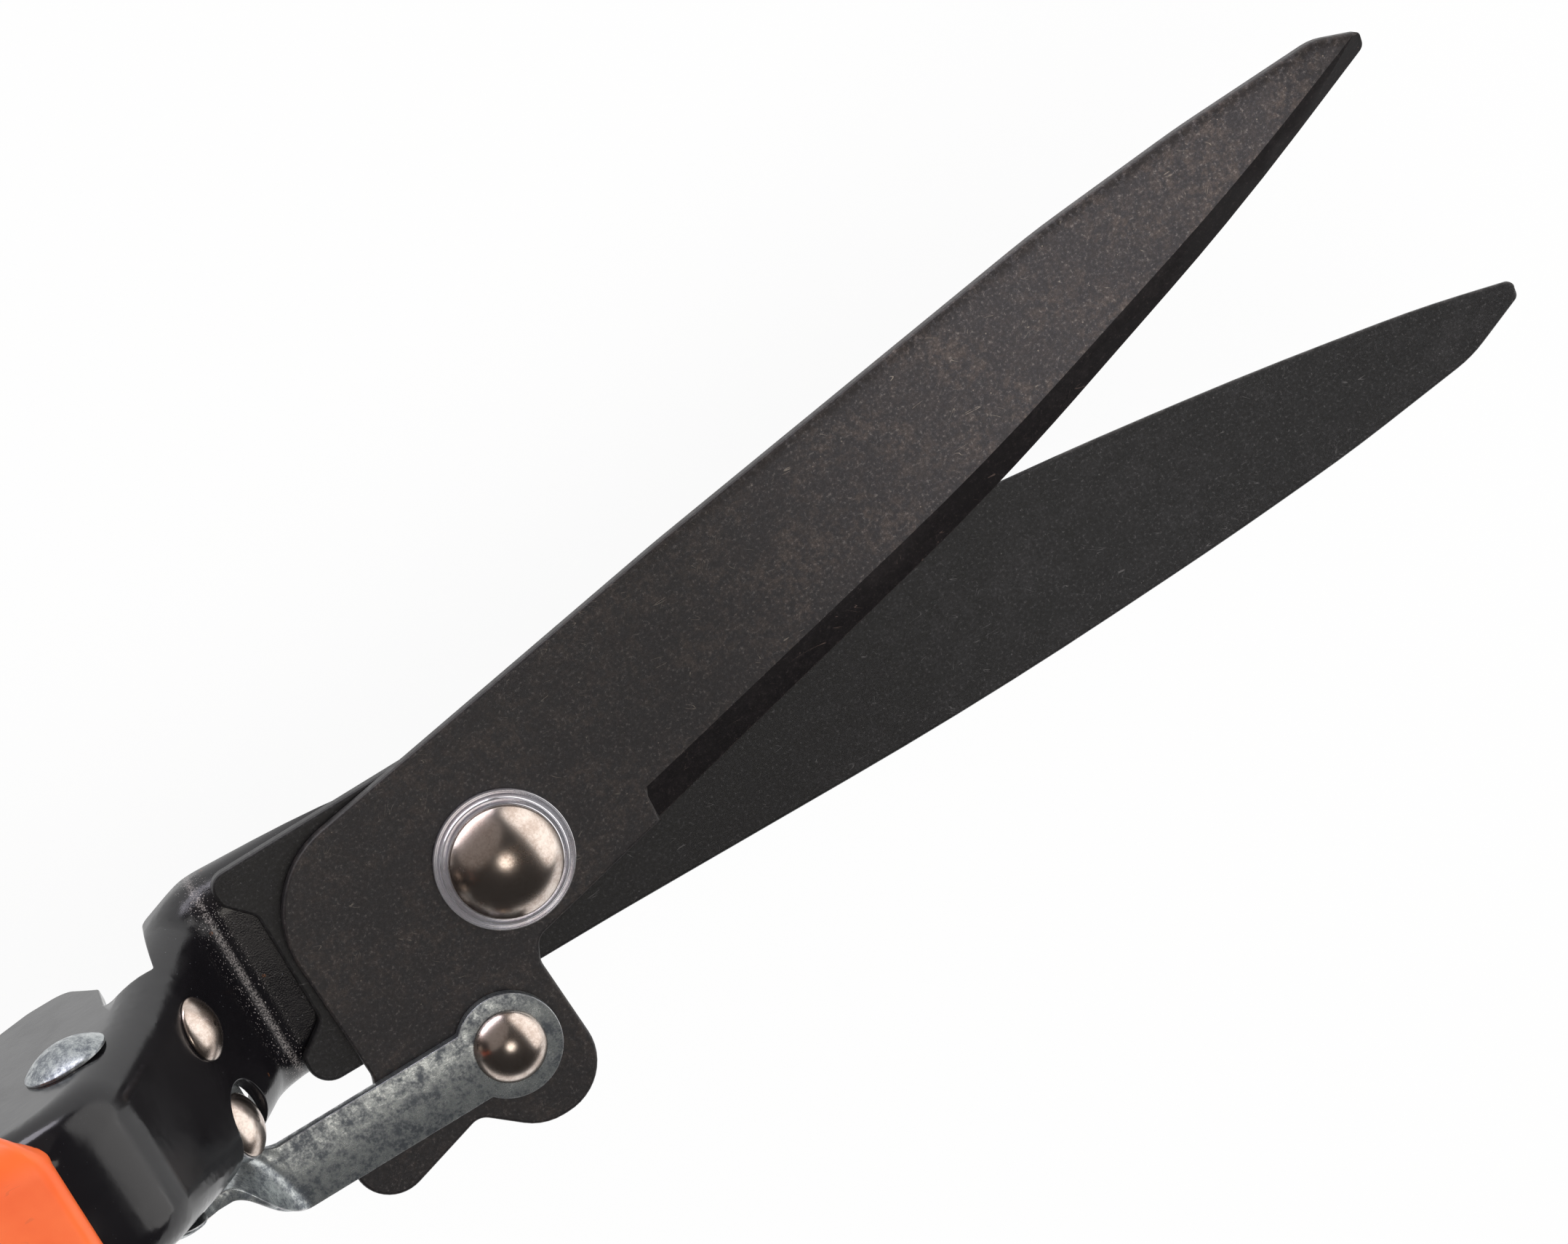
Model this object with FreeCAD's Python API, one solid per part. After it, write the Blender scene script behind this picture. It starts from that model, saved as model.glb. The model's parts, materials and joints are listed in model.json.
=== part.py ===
import FreeCAD, Part
import math
import os

# One-hand grass shears. While the pieces are made, the blade pivot is at X = Y = 0, the blades meet at
# Z = 0, +X points along the fixed blade and +Z up. The pieces are saved about the hang hole.
# All sizes are in millimetres.

os.makedirs("parts", exist_ok=True)
vec = FreeCAD.Vector
AXIS_X = vec(1, 0, 0)
AXIS_Y = vec(0, 1, 0)
AXIS_Z = vec(0, 0, 1)

# Shared clearances and the one overrun of all cuts
overrun = 60.0
run_gap = 0.1           # between faces that slide
bore_gap = 0.08         # radial, shafts in their holes
seat_gap = 0.3          # pieces that stand apart but belong together
rim_high = 0.4          # straight rim under every domed head

# Blades: one stamped sheet each
blade_thick = 2.5
blade_reach = 166.0     # pivot to tip
blade_width = 34.0      # across the tail
bevel_width = 5.4
bevel_tip_width = 3.0
bevel_start = 1.0       # the bevel starts this far in front of the blade's base corner
edge_thick = 0.3
arc_room_share = 0.98   # the most of a side that the arcs at its two ends take

# Pivot bolt of the blades
pivot_r = 4.0
dome_r = 8.1
dome_high = 4.4
cup_r = 10.1
cup_thick = 1.0
cup_rise = 0.8
spring_washer_r = 6.8
spring_washer_thick = 1.8
washer_split = 1.2
washer_split_deg = 200
nut_flats = 13.0
nut_high = 6.0
nut_chamfer = 0.9
bolt_tail = 1.5
bolt_chamfer = 0.7

# Ear of the moving blade and its rivet
ear_x_share = -0.0753   # of the blade's reach
ear_y_share = -0.68235  # of the blade's width
ear_rivet_r = 3.0
ear_dome_r = 5.2
ear_dome_high = 3.2
ear_sink_r = 4.3        # countersunk end, flush with the blade's inner face
ear_sink_deep = 1.0

# Handle stamping: tongue, rising web, channel under the grip
sheet = 2.0
handle_y = 1.5          # centre plane of the handle
tongue_front = 16.0
tongue_half = 16.5
tongue_corner_r = 12.0
bend_x = -40.0
bend_r = 5.0
rise_deg = 65.0
crest_z = 46.0
crest_r = 16.0
channel_half = 12.5
shoulder_r = 6.0
shoulder_inner_r = 3.0
taper_r = 24.0          # soft turns of the walls where the channel narrows
left_taper_run = 15.0   # the left wall narrows from the bend on
right_wide = -56.0      # the right wall stays wide as far as here, for the link
right_taper_run = 12.0
channel_floor = 31.0    # lower edge of the walls under the grip
handle_end = -201.0
flange_start = -6.0
flange_deep = 6.0
nose_run = 7.5
relief_low = 8.5        # lower edge of the left wall behind the nose
relief_high = 13.0
apron_z = -5.2
apron_front = -56.5
apron_front_z = 3.0
apron_front_run = 4.5
apron_back = -67.0
apron_back_run = 8.0
apron_back_rise = 3.5
apron_corner_r = 4.0
wall_corner_r = 1.0
side_band = 7.5         # the right wall beside the rising web, measured along X
cheek_gap = 2.0         # right wall's lower edge under the lever's boss

# Lever pivot in the handle's cheeks
lever_x = -63.6
lever_z = 26.0
lever_pin_r = 3.0
lever_head_r = 6.0
lever_head_high = 2.6
lever_tail_r = 5.2
lever_tail_high = 2.0
lever_open_deg = 21.5
bush_wall = 1.0

# Lever: a channel inside the handle's channel, sizes from its pivot with the handles closed
lever_half = 9.8
lever_boss_r = 5.9
lever_slope_top = 32.0
lever_slope_end = 50.0
lever_grip_drop = 11.0
lever_deep = 12.0
lever_end = 136.0
lever_bend_r = 12.0
lever_belly_r = 8.0
lever_belly_run = 12.0

# Link between ear and lever
link_thick = 2.0
link_width = 10.2
link_eye_r = 7.6
link_flat_end = -47.0
link_twist_run = 8.6    # the strip turns upright over this length
link_plate_y = -17.5    # middle of the upright end, outside the handle's right wall
link_pin_x = -61.0
link_pin_z = 8.8
link_pin_r = 2.5
link_pin_head_r = 3.9
link_pin_head_high = 1.8
link_end_r = 6.0
link_slot_gap = 0.45
link_pull = 7.1         # travel of its pin in the lever when the handles close
link_pin_play = 0.8     # under the pin's inner head, for the link's swing

# Grips: moulded sleeves
grip_wall = 2.5
grip_front = -66.5
grip_slant = 24.0       # the upper grip's front edge leans back from its top
grip_back = -189.0
grip_top_r = 8.0
grip_low_r = 3.5
grip_swell = 1.2
grip_end_r = 2.2
grip_slot_back = -120.0 # the upper grip is open below as far as here, for the lever
lever_grip_start = 58.0
lever_grip_stop = 127.0

# Opening spring between the two channels
spring_x = -85.5
spring_wire_r = 0.6
spring_r = 4.2
spring_turns = 4
spring_low_z = 27.3
spring_bend_r = 1.5     # turn of the wire's ends towards the seats
seat_flange_r = 5.6
seat_flange_thick = 1.4
seat_stud_r = 2.6
seat_stud_high = 2.4

# Catch bail at the handle's end, and the hang hole
bail_wire_r = 1.25
bail_x = -194.5
bail_z = 35.0
bail_drop = 34.0
bail_corner_r = 5.0
hang_r = 2.3
hang_x = -194.5

# Stiffener inside the bend, the rivet in the rising web and the rivets in the tongue
stiffener_thick = 1.5
stiffener_half = 6.7
stiffener_y = 2.6
stiffener_front = -14.0
stiffener_top = 22.0
web_rivet_r = 2.5
web_rivet_head_r = 4.6
web_rivet_head_high = 2.4
web_rivet_tail_r = 3.6
web_rivet_tail_high = 1.4
web_rivet_z = 13.0
web_rivet_y = 4.5
web_rivet_pitch = 15.0  # to the second one, on the stiffener's ear
web_ear_r = 4.8
web_notch_r = 5.8       # bite in the right shoulder round that ear
web_notch_deep = 4.0
blade_rivet_r = 2.5
blade_rivet_head_r = 4.2
blade_rivet_head_high = 1.4
blade_rivet_x = -24.0
blade_rivet_pitch = 8.6

rise = math.radians(rise_deg)
tongue_z = -blade_thick
tongue_low = tongue_z - sheet
crest_x = bend_x - (crest_z - tongue_z) / math.tan(rise)
ear_x = ear_x_share * blade_reach
ear_y = ear_y_share * blade_width
link_low = run_gap + blade_thick + run_gap
cheek_out = handle_y - lever_half
plate_in = link_plate_y + link_thick / 2
plate_out = link_plate_y - link_thick / 2
seat_top_z = crest_z - sheet - seat_flange_thick


# Outlines and simple bodies

def outline_edges(corners):
    """Edges of a closed outline in the XY plane; a corner is (x, y, radius)."""
    places = [vec(x, y, 0) for x, y, radius in corners]
    radii = fitted_radii(places, [radius for x, y, radius in corners])
    joints = []
    for i in range(len(places)):
        here = places[i]
        if not radii[i]:
            joints.append((here, None, here))
            continue
        back, ahead, half = corner_ways(places, i)
        run = radii[i] / math.tan(half)
        middle = (back + ahead).normalize()
        top = here + middle * (radii[i] / math.sin(half) - radii[i])
        joints.append((here + back * run, top, here + ahead * run))
    edges = []
    for i in range(len(places)):
        start, top, end = joints[i]
        if top:
            edges.append(Part.Arc(start, top, end).toShape())
        edges.append(Part.LineSegment(end, joints[(i + 1) % len(places)][0]).toShape())
    return edges


def corner_ways(places, i):
    """The directions from a corner to its two neighbours, and half the angle between them."""
    back = (places[i - 1] - places[i]).normalize()
    ahead = (places[(i + 1) % len(places)] - places[i]).normalize()
    return back, ahead, back.getAngle(ahead) / 2


def fitted_radii(places, radii):
    """Corner radii, limited where the arcs at both ends of a side need more than its length."""
    count = len(places)
    runs = [radii[i] / math.tan(corner_ways(places, i)[2]) if radii[i] else 0 for i in range(count)]
    limits = [1.0] * count
    for i in range(count):
        other = (i + 1) % count
        room = (places[other] - places[i]).Length * arc_room_share
        if runs[i] + runs[other] > room:
            limits[i] = min(limits[i], room / (runs[i] + runs[other]))
            limits[other] = min(limits[other], room / (runs[i] + runs[other]))
    return [radius * limit for radius, limit in zip(radii, limits)]


def flat_plate(corners, bottom, thick):
    """A plate from a plan outline, lying flat with its underside at height bottom."""
    face = Part.Face(Part.Wire(outline_edges(corners)))
    face.translate(vec(0, 0, bottom))
    return face.extrude(AXIS_Z * thick)


def side_plate(corners, y_low, y_high):
    """A plate from a side outline of (x, z, radius) corners, standing between two Y places."""
    face = Part.Face(Part.Wire(outline_edges(corners)))
    face.rotate(vec(0, 0, 0), AXIS_X, 90)
    face.translate(vec(0, y_high, 0))
    return face.extrude(AXIS_Y * (y_low - y_high))


def rod(radius, start, end):
    span = end - start
    return Part.makeCylinder(radius, span.Length, start, span)


def cross_rod(radius, x, z, y_low=-overrun, y_high=overrun):
    return rod(radius, vec(x, y_low, z), vec(x, y_high, z))


def upright_rod(radius, x, y, z_low=-overrun, z_high=overrun):
    return rod(radius, vec(x, y, z_low), vec(x, y, z_high))


def turned(points):
    """A body of revolution about Z from (radius, height) points."""
    ends = points[1:] + points[:1]
    lines = [Part.LineSegment(vec(a[0], 0, a[1]), vec(b[0], 0, b[1])).toShape() for a, b in zip(points, ends)]
    return Part.Face(Part.Wire(lines)).revolve(vec(0, 0, 0), AXIS_Z, 360)


def domed_head(radius, high, place, direction):
    """A rivet or bolt head: a spherical cap on a low straight rim."""
    cap = high - rim_high
    ball_r = (radius * radius + cap * cap) / (2 * cap)
    ball = Part.makeSphere(ball_r, vec(0, 0, high - ball_r))
    head = ball.common(Part.makeCylinder(radius, high))
    head.Placement = FreeCAD.Placement(place, FreeCAD.Rotation(AXIS_Z, direction))
    return head


def one_solid(shape):
    """The single solid of a result, with its split faces merged."""
    shape = shape.removeSplitter()
    return shape.Solids[0] if len(shape.Solids) == 1 else Part.Solid(shape)


def section_across(x, middle, low, high, half, top_r, low_r):
    """A rounded rectangle across the handle at one X place."""
    corners = [(middle - half, low, low_r), (middle + half, low, low_r), (middle + half, high, top_r),
               (middle - half, high, top_r)]
    wire = Part.Wire(outline_edges(corners))
    wire.Placement = FreeCAD.Placement(vec(x, 0, 0), FreeCAD.Rotation(vec(1, 1, 1), 120))
    return wire


def turn_lever(shape, degrees):
    """Turn a shape about the lever's pivot; a positive angle lifts the lever's rear end."""
    shape.rotate(vec(lever_x, 0, lever_z), AXIS_Y, degrees)
    return shape


# Blades

# Corners as shares of reach, width and reach, from the base of the cutting edge round by the tip
fixed_edge_corners = 5
fixed_corner_shares = (
    (0.120, 0.485, 0.0), (0.606, 0.219, 4.2), (0.7705, 0.103, 4.2), (0.9235, -0.0315, 1.2),
    (1.0078, -0.134, 0.0078), (1.0078, -0.213, 0.0072), (0.946, -0.340, 0.12), (0.810, -0.4226, 1.5),
    (0.675, -0.4685, 4.2), (0.425, -0.520, 4.2), (0.060, -0.481, 4.2), (-0.231, -0.469, 0.021),
    (-0.229, -0.318, 0.009), (-0.200, -0.212, 0.012), (-0.200, 0.303, 0.012), (-0.2205, 0.412, 0.006),
    (-0.224, 0.538, 0.015), (0.085, 0.556, 0.03))
moving_edge_corners = 4
moving_corner_shares = (
    (0.1247, -0.215, 0.0), (0.519, 0.250, 2.4), (0.815, 0.735, 2.4), (0.980, 1.0735, 0.0072),
    (0.979, 1.150, 0.0072), (0.940, 1.216, 0.048), (0.801, 1.182, 0.9), (0.651, 1.113, 0.9),
    (0.241, 0.805, 2.4), (-0.030, 0.571, 0.36), (-0.196, 0.429, 0.090), (-0.187, -0.515, 0.024),
    (-0.2066, -0.765, 0.009), (-0.2416, -0.818, 0.006), (-0.2416, -1.069, 0.0335), (-0.1276, -0.8985, 0.015),
    (-0.0845, -1.084, 0.0495), (-0.0087, -1.084, 0.0495), (-0.0166, -0.459, 0.018), (-0.0078, -0.368, 0.015))


def blade_outline(shares):
    return [(x * blade_reach, y * blade_width, r * blade_reach) for x, y, r in shares]


def edge_region(line, side, inset, tip_inset, height):
    """The area behind a cutting edge, drawn in by the bevel; side is +1 where the edge faces +Y."""
    steps = [inset + (tip_inset - inset) * i / (len(line) - 1) for i in range(len(line))]
    drawn = [(x, y - side * step, r) for (x, y, r), step in zip(line, steps)]
    base_x = drawn[0][0] + bevel_start
    drawn[0] = (base_x, drawn[0][1], 0)
    last = vec(drawn[-1][0] - drawn[-2][0], drawn[-1][1] - drawn[-2][1], 0).normalize()
    beyond = vec(drawn[-1][0], drawn[-1][1], 0) + last * overrun
    corners = [(base_x, side * overrun, 0)] + drawn[:-1] + [(beyond.x, beyond.y, 0)]
    corners += [(beyond.x, -side * 2 * overrun, 0), (-2 * overrun, -side * 2 * overrun, 0),
                (-2 * overrun, side * overrun, 0)]
    wire = Part.Wire(outline_edges(corners))
    wire.translate(vec(0, 0, height))
    return wire


def bevelled_blade(corner_shares, edge_corners, side, inner_z, outward):
    """A blade plate whose cutting bevel lies on its outer face, away from the other blade."""
    outer_z = inner_z + outward * blade_thick
    edge_z = inner_z + outward * edge_thick
    outline = blade_outline(corner_shares)
    line = outline[:edge_corners]
    plate = flat_plate(outline, min(inner_z, outer_z), blade_thick)
    sharp = edge_region(line, side, -edge_thick, -edge_thick, edge_z)
    wide = edge_region(line, side, bevel_width, bevel_tip_width, outer_z)
    wedge = Part.makeLoft([sharp, wide], True, True)
    base = Part.Face(sharp).extrude(AXIS_Z * (inner_z - edge_z))
    blade = plate.common(wedge).fuse(plate.common(base))
    return one_solid(blade)


def fixed_blade():
    blade = bevelled_blade(fixed_corner_shares, fixed_edge_corners, 1, 0, -1)
    blade = blade.cut(upright_rod(pivot_r + bore_gap, 0, 0))
    return one_solid(blade.cut(blade_rivets()))


def moving_blade():
    blade = bevelled_blade(moving_corner_shares, moving_edge_corners, -1, run_gap, 1)
    blade = blade.cut(upright_rod(pivot_r + bore_gap, 0, 0))
    return one_solid(blade.cut(upright_rod(ear_rivet_r, ear_x, ear_y)).cut(ear_sink()))


def ear_sink():
    return Part.makeCone(ear_sink_r, ear_rivet_r, ear_sink_deep, vec(ear_x, ear_y, run_gap))


def blade_rivets():
    """The pair that holds the blade's tail: flush on top, low heads under the stiffener."""
    bottom = tongue_low - stiffener_thick
    rivets = []
    for side in (-1, 1):
        place = vec(blade_rivet_x, stiffener_y + side * blade_rivet_pitch / 2, bottom)
        shank = rod(blade_rivet_r, place, vec(place.x, place.y, 0))
        head = domed_head(blade_rivet_head_r, blade_rivet_head_high, place, -AXIS_Z)
        rivets.append(one_solid(shank.fuse(head)))
    return Part.makeCompound(rivets)


# Pivot of the blades: domed bolt, cup washer, spring washer and nut

cup_low = run_gap + blade_thick + run_gap
dome_base = cup_low + cup_thick + cup_rise


def pivot_bolt():
    head = domed_head(dome_r, dome_high, vec(0, 0, dome_base), AXIS_Z)
    tail = tongue_low - spring_washer_thick - nut_high - bolt_tail
    shank = turned([(0, tail), (pivot_r - bolt_chamfer, tail), (pivot_r, tail + bolt_chamfer), (pivot_r, dome_base),
                    (0, dome_base)])
    return one_solid(head.fuse(shank))


def cup_washer():
    """A washer with a raised ring and a stepped rim, seen round the dome."""
    hole = pivot_r + bore_gap
    top = cup_low + cup_thick
    ring = (cup_r - dome_r) / 2
    return turned([(hole, cup_low), (cup_r, cup_low), (cup_r, top), (cup_r - ring / 2, top + cup_rise / 2),
                   (cup_r - ring, top), (dome_r, top), (dome_r - ring, top + cup_rise), (hole, top + cup_rise)])


def spring_washer():
    ring = upright_rod(spring_washer_r, 0, 0, tongue_low - spring_washer_thick, tongue_low)
    ring = ring.cut(upright_rod(pivot_r + bore_gap, 0, 0))
    slit = Part.makeBox(overrun, washer_split, 2 * overrun, vec(0, 0, -overrun))
    slit.rotate(vec(0, 0, 0), AXIS_Z, washer_split_deg)
    return one_solid(ring.cut(slit))


def pivot_nut():
    top = tongue_low - spring_washer_thick
    corner = nut_flats / math.sqrt(3)
    turns = [math.radians(60 * k) for k in range(6)]
    body = flat_plate([(corner * math.cos(a), corner * math.sin(a), 0) for a in turns], top - nut_high, nut_high)
    cone = turned([(0, top), (corner, top), (corner, top - nut_high + nut_chamfer),
                   (corner - nut_chamfer, top - nut_high), (0, top - nut_high)])
    return one_solid(body.common(cone).cut(upright_rod(pivot_r, 0, 0)))


# Handle stamping

def handle_block(shift):
    """The filled channel: side outline crossed with plan; shift moves every face in by a sheet."""
    lean = shift * math.tan(rise / 2)
    low = -2 * overrun
    side = [(tongue_front + shift, tongue_z - shift, 0), (bend_x - lean, tongue_z - shift, bend_r + shift),
            (crest_x - lean, crest_z - shift, crest_r - shift), (handle_end - shift, crest_z - shift, 0),
            (handle_end - shift, low, 0), (tongue_front + shift, low, 0)]
    wide = tongue_half - shift
    slim = channel_half - shift
    left_slim = bend_x - left_taper_run
    right_slim = right_wide - right_taper_run
    plan = [(tongue_front + shift, handle_y + wide, 0), (bend_x, handle_y + wide, taper_r - shift),
            (left_slim, handle_y + slim, taper_r + shift), (handle_end - shift, handle_y + slim, 0),
            (handle_end - shift, handle_y - slim, 0), (right_slim, handle_y - slim, taper_r + shift),
            (right_wide, handle_y - wide, taper_r - shift), (tongue_front + shift, handle_y - wide, 0)]
    block = side_plate(side, handle_y - overrun, handle_y + overrun)
    block = block.common(flat_plate(plan, low - overrun, 5 * overrun)).removeSplitter()
    return block.makeFillet(shoulder_inner_r if shift else shoulder_r, shoulder_edges(block))


def shoulder_edges(block):
    """The long edges where the web turns down into the walls."""
    found = []
    for edge in block.Edges:
        box = edge.BoundBox
        across = box.YLength > tongue_half
        lowest = box.ZMin < -overrun
        if not across and not lowest:
            found.append(edge)
    return found


def below_left_wall():
    """Cut away under the left wall: flange, relief behind the nose, deep apron, then the grip's walls."""
    floor = tongue_low
    low = -3 * overrun
    nose = bend_x - nose_run
    back = apron_back - apron_back_run
    back_z = apron_z + apron_back_rise
    edge = [(tongue_front + overrun, floor, 0), (flange_start, floor, 0),
            (bend_x, floor - flange_deep, apron_corner_r), (nose, floor - flange_deep / 2, sheet),
            (nose - wall_corner_r, relief_low, wall_corner_r), (apron_front, relief_high, wall_corner_r),
            (apron_front, apron_front_z, wall_corner_r), (apron_front - apron_front_run, apron_z, apron_corner_r),
            (apron_back, apron_z, apron_corner_r), (back, back_z, apron_corner_r * 2),
            (back - (channel_floor - back_z), channel_floor, lever_bend_r),
            (handle_end - overrun, channel_floor, 0), (handle_end - overrun, low, 0),
            (tongue_front + overrun, low, 0)]
    return side_plate(edge, handle_y, handle_y + overrun)


def below_right_wall():
    """Cut away under the right wall, a narrow band beside the rising web that leaves room for the link."""
    floor = tongue_low
    low = -3 * overrun
    cheek_z = lever_z - lever_boss_r - cheek_gap
    band_foot = bend_x - side_band
    band_head = band_foot - (cheek_z - tongue_z) / math.tan(rise)
    edge = [(tongue_front + overrun, floor, 0), (flange_start, floor, 0),
            (bend_x, floor - flange_deep, apron_corner_r), (band_foot, floor - flange_deep / 2, sheet),
            (band_foot, tongue_z, apron_corner_r), (band_head, cheek_z, wall_corner_r),
            (apron_back, cheek_z, apron_corner_r),
            (apron_back - (channel_floor - cheek_z), channel_floor, lever_bend_r),
            (handle_end - overrun, channel_floor, 0), (handle_end - overrun, low, 0),
            (tongue_front + overrun, low, 0)]
    return side_plate(edge, handle_y - overrun, handle_y)


def tongue_corners():
    """Round off the tongue's front corners in plan."""
    frame = flat_plate([(tongue_front + overrun, handle_y + overrun, 0), (-overrun, handle_y + overrun, 0),
                        (-overrun, handle_y - overrun, 0), (tongue_front + overrun, handle_y - overrun, 0)],
                       -overrun, overrun)
    keep = flat_plate([(tongue_front, handle_y + tongue_half, tongue_corner_r),
                       (-2 * overrun, handle_y + tongue_half, 0), (-2 * overrun, handle_y - tongue_half, 0),
                       (tongue_front, handle_y - tongue_half, tongue_corner_r)], -overrun, overrun)
    return frame.cut(keep)


def filled_handle():
    block = handle_block(0)
    return block.cut(below_left_wall()).cut(below_right_wall()).cut(tongue_corners())


def main_handle():
    handle = filled_handle().cut(handle_block(sheet)).cut(web_notch())
    handle = handle.cut(upright_rod(pivot_r + bore_gap, 0, 0))
    handle = handle.cut(cross_rod(lever_pin_r, lever_x, lever_z))
    handle = handle.cut(upright_rod(hang_r, hang_x, handle_y, channel_floor, crest_z + overrun))
    handle = handle.cut(cross_rod(bail_wire_r + bore_gap, bail_x, bail_z))
    return one_solid(handle.cut(blade_rivets()).cut(web_rivet()))


def stiffener():
    """An angle plate nested under the tongue and behind the rising web; its ear shows in the web's notch."""
    half_turn = math.tan(rise / 2)
    low = tongue_low - stiffener_thick
    near = bend_x - sheet * half_turn
    far = bend_x - (sheet + stiffener_thick) * half_turn
    outline = [(stiffener_front, tongue_low, 0), (near, tongue_low, bend_r + sheet),
               (near - (stiffener_top - tongue_low) / math.tan(rise), stiffener_top, 0),
               (far - (stiffener_top - low) / math.tan(rise), stiffener_top, 0),
               (far, low, bend_r + sheet + stiffener_thick), (stiffener_front, low, 0)]
    plate = side_plate(outline, stiffener_y - stiffener_half, stiffener_y + stiffener_half)
    root = web_rivet_pitch - stiffener_half
    ear = on_web([(-web_ear_r, -web_ear_r, web_ear_r), (web_ear_r, -web_ear_r, web_ear_r), (web_ear_r, root, 0),
                  (-web_ear_r, root, 0)], sheet + stiffener_thick, sheet)
    return one_solid(plate.fuse(ear).cut(blade_rivets()).cut(web_rivet()))


def web_notch():
    """The bite in the web's right shoulder, where the stiffener's ear and its rivet show."""
    return on_web([(-web_notch_r, -overrun, 0), (web_notch_r, -overrun, 0), (web_notch_r, web_notch_r, web_notch_r),
                   (-web_notch_r, web_notch_r, web_notch_r)], web_notch_deep, -overrun)


def on_web(corners, low_depth, high_depth):
    """A plate along the rising web about the second rivet, between two depths below the web's face."""
    plate = flat_plate(corners, -low_depth, low_depth - high_depth)
    plate.rotate(vec(0, 0, 0), AXIS_Y, rise_deg)
    plate.translate(web_place(web_rivet_y - web_rivet_pitch))
    return plate


def web_place(y):
    return vec(bend_x - (web_rivet_z - tongue_z) / math.tan(rise), y, web_rivet_z)


def web_rivet():
    """The nickel pair: one on the rising web, one on the stiffener's ear."""
    inside = sheet + stiffener_thick
    left = rivet_on_web(web_rivet_y, 0, inside)
    return Part.makeCompound([left, rivet_on_web(web_rivet_y - web_rivet_pitch, sheet, inside)])


def rivet_on_web(y, outer_depth, inner_depth):
    outward = vec(math.sin(rise), 0, math.cos(rise))
    outside = web_place(y) - outward * outer_depth
    inside = web_place(y) - outward * inner_depth
    head = domed_head(web_rivet_head_r, web_rivet_head_high, outside, outward)
    tail = domed_head(web_rivet_tail_r, web_rivet_tail_high, inside, -outward)
    return one_solid(head.fuse([rod(web_rivet_r, inside, outside), tail]))


# Lever pivot: a rivet through both cheeks and a spacer bush between the walls

def lever_rivet():
    """The lever's rivet; its right end closes flat on the wall where that narrows."""
    left = handle_y + channel_half
    narrow = tongue_half - channel_half
    slope = narrow / right_taper_run
    right = handle_y - tongue_half + (right_wide - lever_x) * slope
    place = vec(lever_x, right, lever_z)
    tail = domed_head(lever_tail_r, lever_tail_high, place, vec(-slope, -1, 0).normalize())
    shank = cross_rod(lever_pin_r, lever_x, lever_z, right - lever_tail_high / 2, left)
    head = domed_head(lever_head_r, lever_head_high, vec(lever_x, left, lever_z), AXIS_Y)
    return one_solid(shank.fuse([head, tail.cut(filled_handle())]))


def lever_bush():
    reach = channel_half - sheet - seat_gap
    tube = cross_rod(lever_pin_r + bush_wall, lever_x, lever_z, handle_y - reach, handle_y + reach)
    return one_solid(tube.cut(cross_rod(lever_pin_r + bore_gap, lever_x, lever_z)))


# Lever stamping, drawn closed and then turned open

lever_top = lever_z + lever_boss_r
lever_grip_top = lever_z - lever_grip_drop
lever_floor = lever_grip_top - lever_deep
lever_fall = math.atan2(lever_top - lever_grip_top, lever_slope_end - lever_slope_top)


def lever_block():
    """The filled lever channel with the handles closed."""
    front = lever_x + lever_boss_r
    belly = lever_z - lever_boss_r
    end = lever_x - lever_end
    side = [(front, lever_top, lever_boss_r), (lever_x - lever_slope_top, lever_top, lever_bend_r),
            (lever_x - lever_slope_end, lever_grip_top, lever_bend_r), (end, lever_grip_top, 0),
            (end, lever_floor, 0), (lever_x - lever_slope_end, lever_floor, lever_bend_r),
            (lever_x - lever_belly_run, belly, lever_belly_r), (front, belly, lever_boss_r)]
    return side_plate(side, handle_y - lever_half, handle_y + lever_half)


def lever_hollow():
    """The open inside of the lever channel, open below and at both ends."""
    lean = sheet * math.tan(lever_fall / 2)
    low = -2 * overrun
    end = lever_x - lever_end - overrun
    side = [(lever_x + overrun, lever_top - sheet, 0),
            (lever_x - lever_slope_top + lean, lever_top - sheet, lever_bend_r - sheet),
            (lever_x - lever_slope_end + lean, lever_grip_top - sheet, lever_bend_r + sheet),
            (end, lever_grip_top - sheet, 0), (end, low, 0), (lever_x + overrun, low, 0)]
    return side_plate(side, handle_y - lever_half + sheet, handle_y + lever_half - sheet)


def closed_pin_place():
    """The link pin's place in the lever, seen with the handles closed."""
    turn = math.radians(-lever_open_deg)
    dx = link_pin_x - lever_x
    dz = link_pin_z - lever_z
    return (lever_x + dx * math.cos(turn) - dz * math.sin(turn), lever_z + dx * math.sin(turn) + dz * math.cos(turn))


def obround(x1, z1, x2, z2, radius, y_low, y_high):
    """A plate with two round ends about two places in the XZ plane."""
    span = vec(x2 - x1, 0, z2 - z1)
    side = vec(-span.z, 0, span.x).normalize() * radius
    low = vec(x1, y_low, z1)
    high = vec(x2, y_low, z2)
    strip = Part.Face(Part.makePolygon([low + side, high + side, high - side, low - side, low + side]))
    strip = strip.extrude(AXIS_Y * (y_high - y_low))
    ends = [cross_rod(radius, x, z, y_low, y_high) for x, z in ((x1, z1), (x2, z2))]
    return strip.fuse(ends)


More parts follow.
